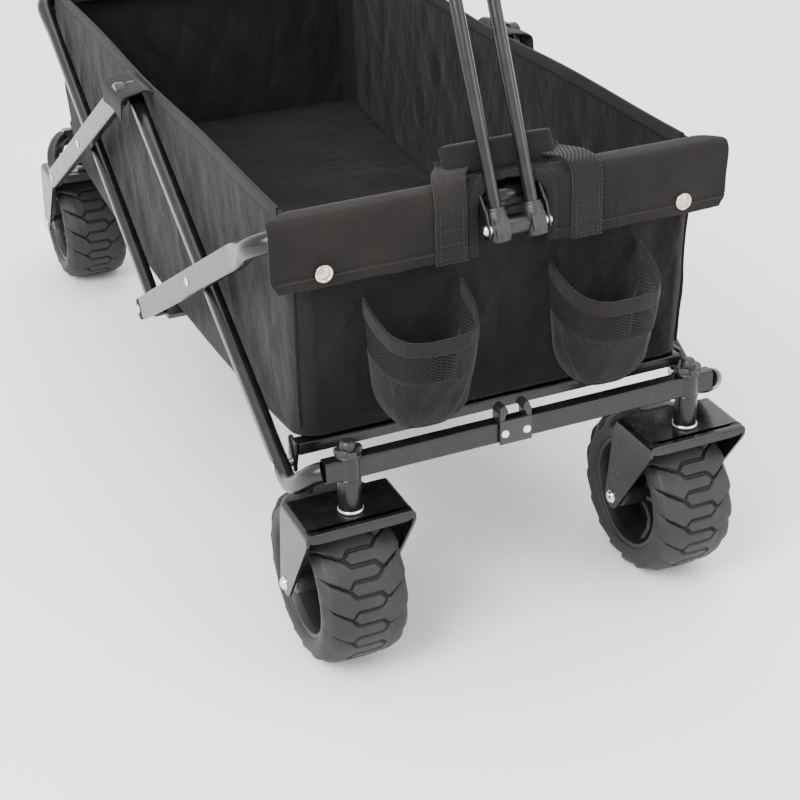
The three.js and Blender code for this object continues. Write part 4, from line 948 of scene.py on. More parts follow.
def leg_shell(end, side, x, half_flat, corner):
    """A leg: rounded top end, straight run to the support pivot, then a sweep in and up to the crossbar."""
    slope = np.array([0.0, -LINK_RUN_Y, -LINK_RUN_Z])
    start = np.array([x, 0.0, PIVOT_TOP_Z]) - slope * LINK_OVERRUN
    turn = np.array([x, -SUPPORT_Y, SUPPORT_Z]) + slope * 8
    goal = np.array([LEG_END_X, node_middle(f"{end}_crossbar")[1] - MIDDLE_Y, BAR_Z])
    goal[1] = -abs(goal[1])
    t = np.linspace(0, 1, 18)[:, None]
    near = turn + slope * 30
    far = goal + [20, 8, -3]
    sweep = (1 - t) ** 3 * turn + 3 * (1 - t) ** 2 * t * near + 3 * (1 - t) * t ** 2 * far + t ** 3 * goal
    path = np.concatenate([end_stations(dense(np.array([start, turn]), 14), half_flat[1]), sweep[1:]])
    path = facing(path, end)
    past = np.concatenate([np.full(len(path) - 17, 99.0), np.linspace(60, 0, 17)])
    section = eased_section(past, half_flat, corner)
    section = round_end(section, path, half_flat[1], True)
    return rod(path * [side, 1, 1], LINK_UP, section)


def rivet_shells(node):
    """A plain shank with a domed head and a thin washer outside."""
    low, high = node_box(node)
    centre = node_middle(node)
    sign = 1 if centre[0] > 0 else -1
    half = (high[0] - low[0]) / 2
    radius = (high[2] - low[2]) / 2
    line = [(-half, 0), (-half, radius * 0.6), (-half + 1, radius * 0.8), (half - 2.8, radius * 0.8),
            (half - 2.6, radius), (half - 1.7, radius), (half - 0.8, radius * 0.8), (half, 0)]
    profile = soften(line, 0.6, 4) * [sign, 1]
    return [turned(profile, centre, segments=36)]


def make_links():
    flat, oval = (FLAT_HALF, 2.2), (OVAL_HALF, 7.4)
    for end, rail, legs in (("front", (OUTER_X, flat), (INNER_X, oval)),
                            ("rear", (INNER_X, oval), (OUTER_X, flat))):
        piece(f"{end}_rail_bar", [rail_shell(end, rail[0], *rail[1])], FRAME_PAINT,
              body_of(f"{end}_rail"), [f"{end}_rail"], weighted=True)
        for side, sign in (("left", 1), ("right", -1)):
            node = f"{end}_leg_{side}"
            piece(f"{end}_leg_bar_{side}", [leg_shell(end, sign, legs[0], *legs[1])], FRAME_PAINT,
                  body_of(node), [node], weighted=True)
    rivets = [name for name in frame["nodes"] if name.startswith("rivet_")]
    for node in rivets:
        piece(f"{node}_head", rivet_shells(node), CHROME, body_of(node), [node])
    print("links made; rivets:", len(rivets))


make_links()

# %% [markdown]
# ## Floor bars
# Three cross tubes carry the floor. The end ones turn up into a plate at each end, which hangs on the leg's
# pivot; the middle one turns in moulded knuckles.

# %% Floor bars
FLOOR_BAR_Y, FLOOR_BAR_Z = 436.07, 224.37
HANGER_SHEET = 3.5
HANGER_NECK_Z = 218


def floor_bar_shells(end):
    """A flat-sided tube between two upright plates."""
    low, high = node_box(f"{end}_floor_bar")
    middle_y = (low[1] + high[1]) / 2
    pivot_y = facing([(0, -SUPPORT_Y, 0)], end)[0, 1]
    bar_y = facing([(0, -FLOOR_BAR_Y, 0)], end)[0, 1]
    half_x = high[0]
    ends = np.array([(-half_x + 4, bar_y, FLOOR_BAR_Z), (half_x - 4, bar_y, FLOOR_BAR_Z)])
    shells = [rod(ends, (0, 0, 1), round_box([8.2, 8.2], [6.5, 6.5], [2.4, 2.4], 6))]
    outline = soften([(pivot_y - 8, low[2] + 8), (pivot_y - 8, low[2]), (pivot_y + 8, low[2]),
                      (pivot_y + 8, low[2] + 9), (middle_y + 10, HANGER_NECK_Z), (middle_y + 10, high[2]),
                      (middle_y - 10, high[2]), (middle_y - 10, HANGER_NECK_Z),
                      (pivot_y - 8, low[2] + 8)], 5, 6)[:-1]
    outline = np.clip(outline, [low[1], low[2]], [high[1], high[2]])
    for sign in (-1, 1):
        shells.append(plate(outline, *sorted((sign * (half_x - HANGER_SHEET), sign * half_x)), soft=0.7))
    return shells


def knuckle_shell(node):
    low, high = node_box(node)
    middle = (low + high) / 2
    outline = soften([(low[1], middle[2] - 2), (low[1] + 5, low[2]), (high[1] - 5, low[2]),
                      (high[1], middle[2] - 2), (high[1] - 8, high[2]), (low[1] + 8, high[2]),
                      (low[1], middle[2] - 2)], 5, 6)[:-1]
    return plate(outline, low[0], high[0], 2.0)


def make_floor_bars():
    for end in ("front", "rear"):
        node = f"{end}_floor_bar"
        piece(f"{node}_tube", floor_bar_shells(end), FRAME_PAINT, body_of(node), [node])
    low, high = node_box("middle_floor_bar")
    middle = (low + high) / 2
    length = high[0] - low[0]
    tube = soften([(-length / 2, 0), (-length / 2, 8), (length / 2, 8), (length / 2, 0)], 0.8, 4)
    piece("middle_floor_tube", [turned(tube, middle)], FRAME_PAINT,
          body_of("middle_floor_bar"), ["middle_floor_bar"])
    for side in ("left", "right"):
        node = f"floor_knuckle_{side}"
        piece(f"{node}_moulding", [knuckle_shell(node)], SATIN_PLASTIC, body_of(node),
              [node])
    print("floor bars made")


make_floor_bars()

# %% [markdown]
# ## Handle
# The handle is two slim tubes side by side. Their sockets turn on a bolt held by two cheeks on the front
# rail, and a collar at the top lets the grip's slider draw out. A clip with two horns stands on the crossbar.

# %% Handle
PIVOT = np.array([0.0, node_middle("handle_bolt")[1], node_middle("handle_bolt")[2]])
HANDLE_LEAN = math.radians(25)
TUBE_APART = 18.5
CHEEK_IN, CHEEK_OUT = 29.1, 31.6
TUBE_START, TUBE_END, TUBE_RADIUS = 5.3, 405.3, 6.2
ROD_START, ROD_END, ROD_RADIUS = 275, 500, 4.4
GRIP_AT, GRIP_HALF, GRIP_ROUND = 507.3, 59, 14
HANDLE_RUN = np.array([0.0, math.sin(HANDLE_LEAN), math.cos(HANDLE_LEAN)])
HANDLE_BACK = np.array([0.0, math.cos(HANDLE_LEAN), -math.sin(HANDLE_LEAN)])
AXES["handle"] = (HANDLE_RUN, X, HANDLE_BACK)


def along_handle(x, distance, back=0.0):
    return PIVOT + np.array([x, 0, 0]) + HANDLE_RUN * distance + HANDLE_BACK * back


def straight_tube(x, first, last, radius, corner=0.9):
    """A closed round tube beside the handle's middle line, with softened ends."""
    outline = soften([(first, 0), (first, radius), (last, radius), (last, 0)], corner, 5)
    return turned(outline, along_handle(x, 0), "handle", 40)


def tapered_block(stations, half_across, half_up, corner, x=0.0):
    """A rounded block along the handle; each station gives a distance and its two half sizes."""
    path = np.array([along_handle(x, distance) for distance in stations])
    return rod(path, HANDLE_BACK, round_box(np.array(half_across), np.array(half_up), np.array(corner), 8))


def cheek_outline():
    """A bracket cheek: round below about the bolt, narrowing up to the rail."""
    angle = np.linspace(math.radians(200), math.radians(355), 18)
    low_part = PIVOT[1:] + 8.6 * np.stack([np.cos(angle), np.sin(angle)], -1)
    rail_y = MIDDLE_Y - RAIL_Y
    top = [(rail_y + 10.5, TOP_Z - 6), (rail_y + 10.5, TOP_Z + 8), (rail_y + 4, TOP_Z + 13.5),
           (rail_y - 12, TOP_Z + 13.5), (rail_y - 26, TOP_Z)]
    closed = np.concatenate([low_part, top, low_part[:1]])
    return np.concatenate([low_part, soften(closed[17:], 4, 5)[1:-1]])


def make_handle():
    cheeks = [plate(cheek_outline(), *sorted((sign * CHEEK_IN, sign * CHEEK_OUT)), soft=0.6)
              for sign in (-1, 1)]
    rail_y = MIDDLE_Y - RAIL_Y
    saddle = soften([(-10.6, -4), (-10.6, 10.6), (10.6, 10.6), (10.6, -4)], 10.2, 10)
    saddle = np.stack(np.broadcast_arrays(np.array([-31.0, 31.0])[:, None], saddle[None, :, 0] + rail_y,
                                          saddle[None, :, 1] + TOP_Z), -1)
    piece("bracket_cheeks", cheeks, FRAME_PAINT, body_of("handle_bracket"), ["handle_bracket"])
    piece("bracket_saddle", [grid_shell(saddle)], FRAME_PAINT, body_of("handle_bracket"),
          thickness=1.2)
    piece("bracket_bolt", [bolt_heads(PIVOT, CHEEK_OUT, 0.8),
                           turned([(-31, 0), (-31, 3), (31, 3), (31, 0)], PIVOT, segments=24)],
          CHROME, body_of("handle_bolt"), ["handle_bolt"])
    sockets = []
    for sign in (-1, 1):
        x = sign * TUBE_APART
        sockets.append(straight_tube(x, -13, 17, 10.0, 3.2))
        sockets.append(straight_tube(x, 12, 19.0, 9.0, 1.6))
        sockets.append(rod([(x + 7, *PIVOT[1:]), (x - 7, *PIVOT[1:])], HANDLE_RUN,
                           round_box([10, 10], [10.5, 10.5], [6, 6], 6)))
    sockets.append(turned(soften([(-12, 0), (-12, 7.5), (12, 7.5), (12, 0)], 1, 4), PIVOT, segments=36))
    piece("tube_sockets", sockets, SATIN_PLASTIC, body_of("handle_yoke"), ["handle_yoke"])
    for side, sign in (("left", 1), ("right", -1)):
        node = f"handle_tube_{side}"
        piece(f"tube_{side}", [straight_tube(sign * TUBE_APART, TUBE_START, TUBE_END, TUBE_RADIUS)],
              HANDLE_PAINT, body_of(node), [node])
    collar = tapered_block([371.3, 373, 378, 395, 411, 415.6, 417.3],
                           [26.5, 28.6, 29.5, 29.5, 29.0, 27.6, 25.5],
                           [9.5, 11.4, 12.2, 12.2, 11.8, 10.6, 9.0], [8, 9, 10, 10, 10, 9, 8])
    button = rod([along_handle(0, 384, -11), along_handle(0, 384, -13.4)], HANDLE_RUN,
                 round_box([8, 7], [5, 4], [3, 3], 6))
    piece("tube_collar", [collar, button], SATIN_PLASTIC, body_of("handle_collar"),
          ["handle_collar"])
    slider = [straight_tube(sign * TUBE_APART, ROD_START, ROD_END, ROD_RADIUS) for sign in (-1, 1)]
    slider.append(tapered_block([486, 489, 500, 506], [20, 22.4, 22.4, 14], [6, 7.5, 7.5, 7.5], [5, 6, 6, 6]))
    piece("slider_rods", slider, BRIGHT_ROD, body_of("handle_slider"), ["handle_slider"])
    centre = along_handle(0, GRIP_AT)
    straight = GRIP_HALF - GRIP_ROUND
    x = np.concatenate([-GRIP_HALF + GRIP_ROUND * (1 - np.cos(np.linspace(0, np.pi / 2, 12))),
                        np.linspace(-straight, straight, 40)[1:-1],
                        GRIP_HALF - GRIP_ROUND * (1 - np.cos(np.linspace(np.pi / 2, 0, 12)))])
    ends = np.sqrt(np.clip(1 - ((np.abs(x) - straight) / GRIP_ROUND).clip(0, 1) ** 2, 0.0004, 1))
    waist = 1 - 0.12 * np.exp(-((np.abs(x) - 24) / 11) ** 2)
    path = np.stack([x, np.full(x.shape, centre[1]), np.full(x.shape, centre[2])], -1)
    section = round_box(14.8 * ends * waist, 14.2 * ends * waist, 13.4 * ends * waist, 8)
    neck = tapered_block([483, 488, 498, 504], [22, 21, 24, 26], [8.5, 8.5, 10, 10], [7, 7, 8, 8])
    piece("pull_grip", [rod(path, HANDLE_RUN, section), neck], GRIP_PLASTIC,
          body_of("handle_grip"), ["handle_grip"])
    print("handle: pivot", PIVOT.round(1), "grip centre", centre.round(1))


make_handle()


# %% Clip on the crossbar
def make_clip():
    """A moulded plate screwed to the crossbar's front, with two horns that swell inward above the bar."""
    low, high = node_box("handle_clip")
    middle_x = (low[0] + high[0]) / 2
    front = low[1]
    shells = [rod([(middle_x, front + 1.7, low[2]), (middle_x, front + 1.7, low[2] + 25)], (0, 1, 0),
                  round_box([17, 17], [1.7, 1.7], [1.2, 1.2], 6))]
    for sign in (-1, 1):
        x = middle_x + sign * 14
        z = np.array([low[2] + 22, 246, 250, 252.6, 255, high[2]])
        inner = np.array([0.0, 0, 1.0, 4.4, 3.2, 0.4])
        path = np.stack([x - sign * inner / 2, np.full(6, (low[1] + high[1]) / 2), z], -1)
        section = round_box(np.array([3.0, 3, 3.4, 4.4, 3.8, 2.0]),
                            np.array([8.8, 8.8, 8.8, 8.6, 8.0, 6.4]), np.full(6, 1.5), 6)
        shells.append(rod(path, (0, 1, 0), section))
    piece("clip_moulding", shells, SATIN_PLASTIC, body_of("handle_clip"), ["handle_clip"])
    head = soften([(0, 4.2), (0.5, 4.2), (1.6, 3.0), (2.0, 0)], 0.4, 4) * [-1, 1]
    screws = [turned(head, (middle_x + sign * 11.5, front + 0.2, low[2] + 11), "y", 28) for sign in (-1, 1)]
    piece("clip_screws", screws, CHROME, body_of("handle_clip"))
    print("clip at x", round(middle_x, 1))


make_clip()

# %% [markdown]
# ## Bag
# The bag is one cloth box. Rings of points run down its walls from the top hem and then close in under the
# floor, which sags between the three cross tubes. Slack cloth wrinkles, so the walls carry soft creases that
# fade out at the hems and corners, where the cloth is held.

# %% Creases
def creases(across, along, seed, count=9, longest=190.0, shortest=45.0, slant=0.6):
    """Sum of slanted waves with chosen lengths; sharper on their crests than in their troughs."""
    chance = np.random.default_rng(seed)
    total = np.zeros(np.broadcast(across, along).shape)
    for _ in range(count):
        length = chance.uniform(shortest, longest)
        angle = chance.uniform(-slant, slant)
        phase = chance.uniform(0, 2 * np.pi)
        wander = 0.8 * np.sin(along / chance.uniform(60, 150) + chance.uniform(0, 6))
        wave = np.sin((across * np.cos(angle) + along * np.sin(angle)) * 2 * np.pi / length + phase + wander)
        total = total + (1 - 2 * np.abs(wave) ** 0.7) * length / longest
    return total / math.sqrt(count)


# %% Bag surface
BAG_HALF_X = 208.0
BAG_TOP_HALF_Y, BAG_FLOOR_HALF_Y = 458.0, 447.0
BAG_SIDE_Z, BAG_END_Z = 462.0, 428.0
BAG_FLOOR_Z, BAG_MIDDLE_Z = 238.0, 208.0
BAG_CORNER = 26.0
BAG_CLOTH_THICKNESS = 2.0
WALL_ROWS, FLOOR_ROWS = 74, 36
HEM_SHORT = 30
HEM_WIDTH, HEM_THICKNESS = 13.0, 0.9


def bag_ring(count=1100):
    """Evenly spaced plan points of a rounded rectangle one unit long, with their place along the wall."""
    corners = [(0, -BAG_TOP_HALF_Y), (-BAG_HALF_X, -BAG_TOP_HALF_Y), (-BAG_HALF_X, BAG_TOP_HALF_Y),
               (BAG_HALF_X, BAG_TOP_HALF_Y), (BAG_HALF_X, -BAG_TOP_HALF_Y), (0, -BAG_TOP_HALF_Y)]
    return resample(soften(corners, BAG_CORNER, 9), count + 1)[:-1]


def into_corner(value, half):
    """How far a plan point is into a corner's round, with its sign; 0 along a straight wall."""
    return np.sign(value) * (np.abs(value) > half - BAG_CORNER) * (np.abs(value) - half + BAG_CORNER)


def bag_grid():
    ring = bag_ring()
    x, y = ring[:, 0], ring[:, 1]
    end_share = smoothstep(BAG_TOP_HALF_Y - 24, BAG_TOP_HALF_Y - 3, np.abs(y))
    sag = 5.0 * (1 - (y / BAG_TOP_HALF_Y) ** 2) * np.cos(y / BAG_TOP_HALF_Y * np.pi) ** 2
    top = BAG_SIDE_Z - sag - (BAG_SIDE_Z - BAG_END_Z) * end_share
    low = BAG_FLOOR_Z - (BAG_FLOOR_Z - BAG_MIDDLE_Z) * (1 - (y / BAG_TOP_HALF_Y) ** 2)
    down = np.linspace(0, 1, WALL_ROWS)[:, None]
    taper = 1 - (1 - BAG_FLOOR_HALF_Y / BAG_TOP_HALF_Y) * down
    around = np.arange(len(ring)) * np.linalg.norm(ring[1] - ring[0])
    height = top - (top - low) * down
    out = unit(np.stack([into_corner(x, BAG_HALF_X), into_corner(y, BAG_TOP_HALF_Y)], -1))
    hold = np.sin(np.pi * down) ** 0.6
    is_end = (np.abs(y) > BAG_TOP_HALF_Y - 1)[None, :]
    crease = creases(around[None, :], height, 7) * np.where(is_end, 4.6, 1.8)
    crease = crease * hold
    belly = np.where(is_end, 2.0, 1.5) * np.sin(np.pi * down)
    shift = np.clip(crease + belly, -9.0, np.where(is_end, 7.0, 4.0))
    wall = np.stack([x + out[:, 0] * shift, (y * taper) + out[:, 1] * shift,
                     np.broadcast_to(height, shift.shape)], -1)
    inward = 1 - np.linspace(0, 1, FLOOR_ROWS)[1:, None] ** 0.9
    floor_x = x * inward
    floor_y = y * (BAG_FLOOR_HALF_Y / BAG_TOP_HALF_Y) * inward
    dish = (BAG_FLOOR_Z - BAG_MIDDLE_Z) * (1 - np.clip(floor_y / BAG_FLOOR_HALF_Y, -1, 1) ** 2)
    ripple = creases(floor_x, floor_y, 21, longest=260, slant=3.0) * 1.2 * (1 - np.abs(2 * inward - 1) ** 4)
    floor = np.stack([floor_x, floor_y, BAG_FLOOR_Z - dish + ripple + 0.5], -1)
    return np.concatenate([wall, floor])


def bound_edge(line, outward, width, lift=1.3):
    """Binding tape folded over an edge: down one face, over the top and down the other."""
    outward = np.broadcast_to(np.asarray(outward, float), line.shape)
    up = np.array([0, 0, 1.0])
    turns = np.linspace(0, np.pi, 7)
    arc = [outward * (lift * math.cos(t)) + up * (lift * math.sin(t)) for t in turns]
    rows = [line + outward * lift - up * width,
            line + outward * lift - up * width / 2] + [line + a for a in arc]
    rows += [line - outward * lift - up * width / 2, line - outward * lift - up * width]
    return np.stack(rows)


def flatten_with_bag(made):
    """Gives the piece a mesh of its own, shared with no other object."""
    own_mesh(made)


def make_bag():
    grid = bag_grid()
    made = piece("cloth_bag", [grid_shell(grid + [0, MIDDLE_Y, 0], wrap_columns=True)], BAG_CLOTH,
                 body_of("bag"), ["bag"], thickness=BAG_CLOTH_THICKNESS)
    flatten_with_bag(made)
    hems = []
    top = grid[0] + [0, MIDDLE_Y, 0]
    for sign in (-1, 1):
        side = top[(np.sign(top[:, 0]) == sign) & (np.abs(top[:, 1] - MIDDLE_Y) < BAG_TOP_HALF_Y - HEM_SHORT)]
        side = side[np.argsort(side[:, 1])]
        hems.append(grid_shell(bound_edge(side, (sign, 0, 0), HEM_WIDTH)))
    hem = piece("side_hems", hems, BINDING, body_of("bag"), thickness=HEM_THICKNESS)
    flatten_with_bag(hem)
    return grid


bag_surface = make_bag()


# %% Corner seams and sleeves
SEAM_X, SEAM_Y = 206, 449
SLEEVE_HALF, SLEEVE_Z, SLEEVE_THICKNESS = 38, 450, 1.4


def make_bag_details():
    """Raised seams where the end panels meet the sides, and sleeves that hold the hems to the pivots."""
    seams = []
    for sign_x in (-1, 1):
        for sign_y in (-1, 1):
            near = np.argmin(np.hypot(bag_surface[0, :, 0] - sign_x * SEAM_X,
                                      bag_surface[0, :, 1] - sign_y * SEAM_Y))
            line = bag_surface[2:72:2, near] + [sign_x * 0.9, MIDDLE_Y + sign_y * 0.9, 0]
            seams.append(rod(line, (sign_x * 1.0, sign_y * 1.0, 0),
                             round_box([1.3] * 35, [2.6] * 35, [1.2] * 35, 4)))
    made = piece("corner_piping", seams, BINDING, body_of("bag"))
    flatten_with_bag(made)
    sleeves = []
    y = np.linspace(-SLEEVE_HALF, SLEEVE_HALF, 40)
    for sign in (-1, 1):
        loop = soften([(-2.2, -46), (-2.2, 4), (8, 10), (36, 4), (38, -20)], 9, 7)
        sag = 1 - 0.18 * np.exp(-((y[:, None]) / 26) ** 2)
        grid = np.stack([np.broadcast_to(sign * (BAG_HALF_X + 2 + loop[None, :, 0]), (40, len(loop))),
                         np.broadcast_to(y[:, None] + MIDDLE_Y, (40, len(loop))),
                         SLEEVE_Z + loop[None, :, 1] * sag
                         + creases(y[:, None], loop[None, :, 0], 5) * 0.8], -1)
        sleeves.append(grid_shell(grid))
    cover = piece("pivot_covers", sleeves, FLAP_CLOTH, body_of("bag"),
                  thickness=SLEEVE_THICKNESS)
    flatten_with_bag(cover)
    print("corner seams", len(seams), "pivot covers", len(sleeves))


make_bag_details()

# %% [markdown]
# ## Flaps
# A flap is one sheet laid over the rail. Its section runs up behind the rail, over it and down the front. The
# front one has an arched opening for the handle, bound with tape, and press studs near its lower corners.

# %% Flap surface
FLAP_FRONT = 13.0
FLAP_BACK = 18.0
FLAP_TOP_Z = 465.5
FLAP_LOW_Z = 398.5
FLAP_BACK_Z = 434.0
ARCH_HALF, ARCH_MIDDLE, ARCH_TALL = 37.0, 2.5, 26.0
FLAP_THICKNESS, BINDING_THICKNESS = 1.8, 0.7
FRONT_FLAP_EDGE, REAR_FLAP_EDGE = (233, 203), (214, 184)
HEM_STITCH_Z = FLAP_LOW_Z + 10.4
STUD_X, STUD_Z = 184.0, 412.0
BAND_PLACES = ((-60.0, -44.0), (79.0, 52.0))


def flap_section(low_z):
    """The flap's (y, z) line from its hem inside the bag, over the rail, to its hem in front."""
    corners = [(-RAIL_Y + FLAP_BACK, FLAP_BACK_Z), (-RAIL_Y + FLAP_BACK, FLAP_TOP_Z - 4),
               (-RAIL_Y + 6, FLAP_TOP_Z + 1.5), (-RAIL_Y - FLAP_FRONT, FLAP_TOP_Z - 2),
               (-RAIL_Y - FLAP_FRONT, low_z)]
    return resample(soften(corners, 15, 12), 120)


def loose_at(x):
    """How free the flap is to wave: 0 at the studs and under the strap bands, 1 well away from them."""
    free = 1 - np.exp(-((np.abs(x) - STUD_X) / 20) ** 2)
    for band, _ in BAND_PLACES:
        free = free * (1 - np.exp(-((x - band) / 24) ** 4))
    return free


def flap_half(end, sign, inner, outer, low_z, seed):
    """One half of a flap, from the middle or the arch's edge out to its end."""
    section = flap_section(low_z)
    share = np.linspace(0, 1, 150)[None, :]
    start, stop = inner(section)[:, None], outer(section)[:, None]
    x = start + (stop - start) * share
    run = unit(np.gradient(section, axis=0))
    outward = np.stack([-run[:, 1], run[:, 0]], -1)
    depth = smoothstep(455, 420, np.broadcast_to(section[:, 1:], x.shape))
    wave = creases(x, section[:, 1:], seed, longest=150, shortest=50, slant=0.5) * (0.4 + 1.9 * depth)
    hem = 0.7 * smoothstep(11.0, 9.6, np.abs(section[:, 1:] - low_z))
    stitch = -0.8 * np.exp(-((section[:, 1:] - low_z - 12) / 1.0) ** 2)
    lift = np.clip(wave, -2.2, 2.6) * loose_at(sign * x) + hem + stitch
    y = section[:, :1] + np.abs(outward[:, :1]) * np.sign(section[:, :1] + RAIL_Y) * lift
    z = section[:, 1:] + outward[:, 1:] * lift * 0.5
    return facing(np.stack([sign * x, y, np.broadcast_to(z, x.shape)], -1), end)


def arch_edge(side):
    """How far from the middle the front flap's inner edge is at each height: none above the arch."""
    def edge(section):
        along = np.cumsum(np.linalg.norm(np.diff(section, axis=0, prepend=section[:1]), axis=1))
        top = np.argmax((section[:, 0] < -RAIL_Y - 3))
        share = np.clip((along - along[top]) / ARCH_TALL, 0, 1)
        wide = ARCH_HALF * np.sqrt(1 - (1 - share) ** 2) + side * ARCH_MIDDLE * np.minimum(share * 3, 1)
        return np.where(share > 0, wide, 0.0)
    return edge


def end_edge(front_x, back_x):
    """A flap's outer edge: it covers the rail's bend in front, and stops short of it behind."""
    def edge(section):
        share = smoothstep(-RAIL_Y + 14, -RAIL_Y - 9, section[:, 0])
        corner = 6 * smoothstep(FLAP_LOW_Z + 16, FLAP_LOW_Z, section[:, 1]) ** 2
        return back_x + (front_x - back_x) * share - corner
    return edge


def make_flaps():
    halves = []
    for sign in (-1, 1):
        halves.append(flap_half("front", sign, arch_edge(sign), end_edge(*FRONT_FLAP_EDGE), FLAP_LOW_Z,
                                31 + sign))
    front = piece("front_flap_cloth", [grid_shell(half) for half in halves], FLAP_CLOTH,
                  body_of("front_flap"), ["front_flap"], thickness=FLAP_THICKNESS)
    tape, tape_lengths = [], []
    for sign, half in zip((-1, 1), halves):
        edge = half[:, 0]
        top = int(np.argmax(np.abs(edge[:, 0]) > 1.5))
        line = edge[top:]
        line = np.stack([np.convolve(np.pad(line[:, k], 4, mode="edge"), np.ones(9) / 9,
                                     "valid") for k in range(3)], -1)
        along_section = unit(np.gradient(flap_section(FLAP_LOW_Z)[top:], axis=0))
        normal = np.stack([np.zeros(len(line)), along_section[:, 1], -along_section[:, 0]], -1)
        normal = normal * np.sign(normal[:, 2:] - normal[:, 1:2] + 1e-9)
        run = unit(np.gradient(line, axis=0))
        across = unit(np.cross(normal, run))
        across = across * np.sign(across[len(across) // 2, 0] * sign)
        rows = [line + across * reach + normal * lift for reach, lift in
                ((9.5, 1.3), (9.3, 1.9), (5, 2.1), (0, 2.1), (-1.6, 1.2), (-2.0, 0), (-1.6, -1.2),
                 (0, -2.0), (7, -2.0))]
        tape.append(grid_shell(np.stack(rows)))
        tape_lengths.append(line_length(line))
    bound = piece("arch_binding", tape, BINDING, body_of("front_flap"),
                  thickness=BINDING_THICKNESS)
    bound.modifiers["thickness"].use_even_offset = False
    rear = [flap_half("rear", sign, lambda section: np.zeros(len(section)),
                      end_edge(*REAR_FLAP_EDGE), FLAP_LOW_Z,
                      51 + sign)
            for sign in (-1, 1)]
    back = piece("rear_flap_cloth", [grid_shell(half) for half in rear], FLAP_CLOTH,
                 body_of("rear_flap"), ["rear_flap"], thickness=FLAP_THICKNESS)


make_flaps()


# %% Press studs
def make_studs():
    """A rolled ring with a low dome in it, on both lower corners of each flap."""
    outline = soften([(0, 8.6), (1.4, 8.6), (2.3, 7.6), (1.9, 6.6), (1.1, 5.9), (1.5, 5.2), (2.7, 3.2),
                      (3.1, 0)], 0.7, 4)
    for end in ("front", "rear"):
        shells = []
        for sign in (-1, 1):
            centre = (sign * STUD_X, -RAIL_Y - FLAP_FRONT - 1.6, STUD_Z)
            points, faces, uvs = turned(outline * [-1, 1], centre, "y", 48)
            shells.append((facing(points, end), faces, uvs))
        piece(f"{end}_press_studs", shells, NICKEL, body_of(f"{end}_flap"))
    print("press studs at", STUD_X, STUD_Z)


make_studs()

# %% [markdown]
# ## Pockets
# A pocket is a cup of cloth sewn to the end panel. Its upper part is net, so what is in it can be seen, and a
# hem of doubled cloth runs round its mouth, lower in front than behind.

# %% Pocket surface
POCKET_X = 95.0
POCKET_HALF = 48.5
POCKET_DEEP = 70.0
POCKET_BACK = 459.0
POCKET_LOW_Z, POCKET_FRONT_Z, POCKET_BACK_Z = 250.0, 353.0, 376.0
NET_FROM, HEM_FROM = 0.56, 0.86
CUP_THICKNESS, MOUTH_THICKNESS, NET_CORD_THICKNESS = 1.4, 2.2, 0.75


def pocket_point(turn, level, grow=0.0):
    """A point of the pocket: turn runs from one side of the mouth to the other, level from base to rim."""
    full = 1 - (1 - np.clip(level / 0.34, 0, 1)) ** 2.4 * 0.34
    wide = POCKET_HALF * (0.88 + 0.12 * smoothstep(0.1, 0.9, level)) * full + grow
    deep = POCKET_DEEP * (0.80 + 0.20 * smoothstep(0.1, 0.9, level)) * full + grow
    angle = (turn - 0.5) * np.pi
    x = wide * np.sign(np.sin(angle)) * np.abs(np.sin(angle)) ** 0.66
    out = deep * np.abs(np.cos(angle)) ** 0.62
    rim = POCKET_FRONT_Z + (POCKET_BACK_Z - POCKET_FRONT_Z) * (1 - out / deep) ** 1.3
    z = POCKET_LOW_Z + (rim - POCKET_LOW_Z) * level
    return np.stack(np.broadcast_arrays(x, -POCKET_BACK - out, z), -1)


def pocket_grid(x_middle, first, last, rows, columns, grow=0.0, wrinkle=0.0, seed=3):
    turn = np.linspace(0, 1, columns)[None, :]
    level = np.linspace(first, last, rows)[:, None]
    grid = pocket_point(turn, level, grow)
    if wrinkle:
        wave = creases(turn * 170, level * 110, seed, longest=70,
                       shortest=26) * wrinkle * np.sin(np.pi * turn) ** 0.5
        middle = np.array([0.0, -POCKET_BACK - 20, 0.0])
        out = unit((grid - middle) * [1, 1, 0.0])
        grid = grid + out * wave[..., None]
    return facing(grid + [x_middle, 0, 0], "front")


def pocket_base(x_middle):
    """The cup's round bottom, drawn in from its lowest ring."""
    ring = pocket_grid(0.0, 0.0, 0.0, 1, 70)[0]
    back = np.array([0.0, MIDDLE_Y - POCKET_BACK + 1.0, POCKET_LOW_Z])
    share = np.linspace(1, 0, 14)[:, None, None]
    middle = back + [0, -10, -3.5]
    grid = middle + (ring[None] - middle) * share
    grid[..., 2] = POCKET_LOW_Z - 4.0 * (1 - share[..., 0] ** 2)
    return grid + [x_middle, 0, 0]


def net_object(name, x_middle, body):
    """Net: a sheet of diamond quads whose edges are turned into cord by a Wireframe modifier."""
    cells_across, cells_up = 40, 10
    i, j = np.meshgrid(np.arange(2 * cells_across + 1), np.arange(2 * cells_up + 1), indexing="ij")
    keep = (i + j) % 2 == 0
    index = np.full(keep.shape, -1)
    index[keep] = np.arange(keep.sum())
    level = NET_FROM + (HEM_FROM + 0.02 - NET_FROM) * j / (2 * cells_up)
    points = facing(pocket_point(i / (2 * cells_across), level) + [x_middle, 0, 0], "front")[keep]
    inner = ~keep[1:-1, 1:-1]
    a, b = np.nonzero(inner)
    a, b = a + 1, b + 1
    faces = np.stack([index[a - 1, b], index[a, b - 1], index[a + 1, b], index[a, b + 1]], -1)
    uvs = np.repeat(np.stack([a, b], -1) * 0.002, 4, axis=0).astype(float)
    made = piece(name, [(points, faces.tolist(), uvs)], NET_CORD, body)
    cord = made.modifiers.new("net_cord", "WIREFRAME")
    cord.thickness = NET_CORD_THICKNESS * MM
    cord.use_even_offset = False
    return made


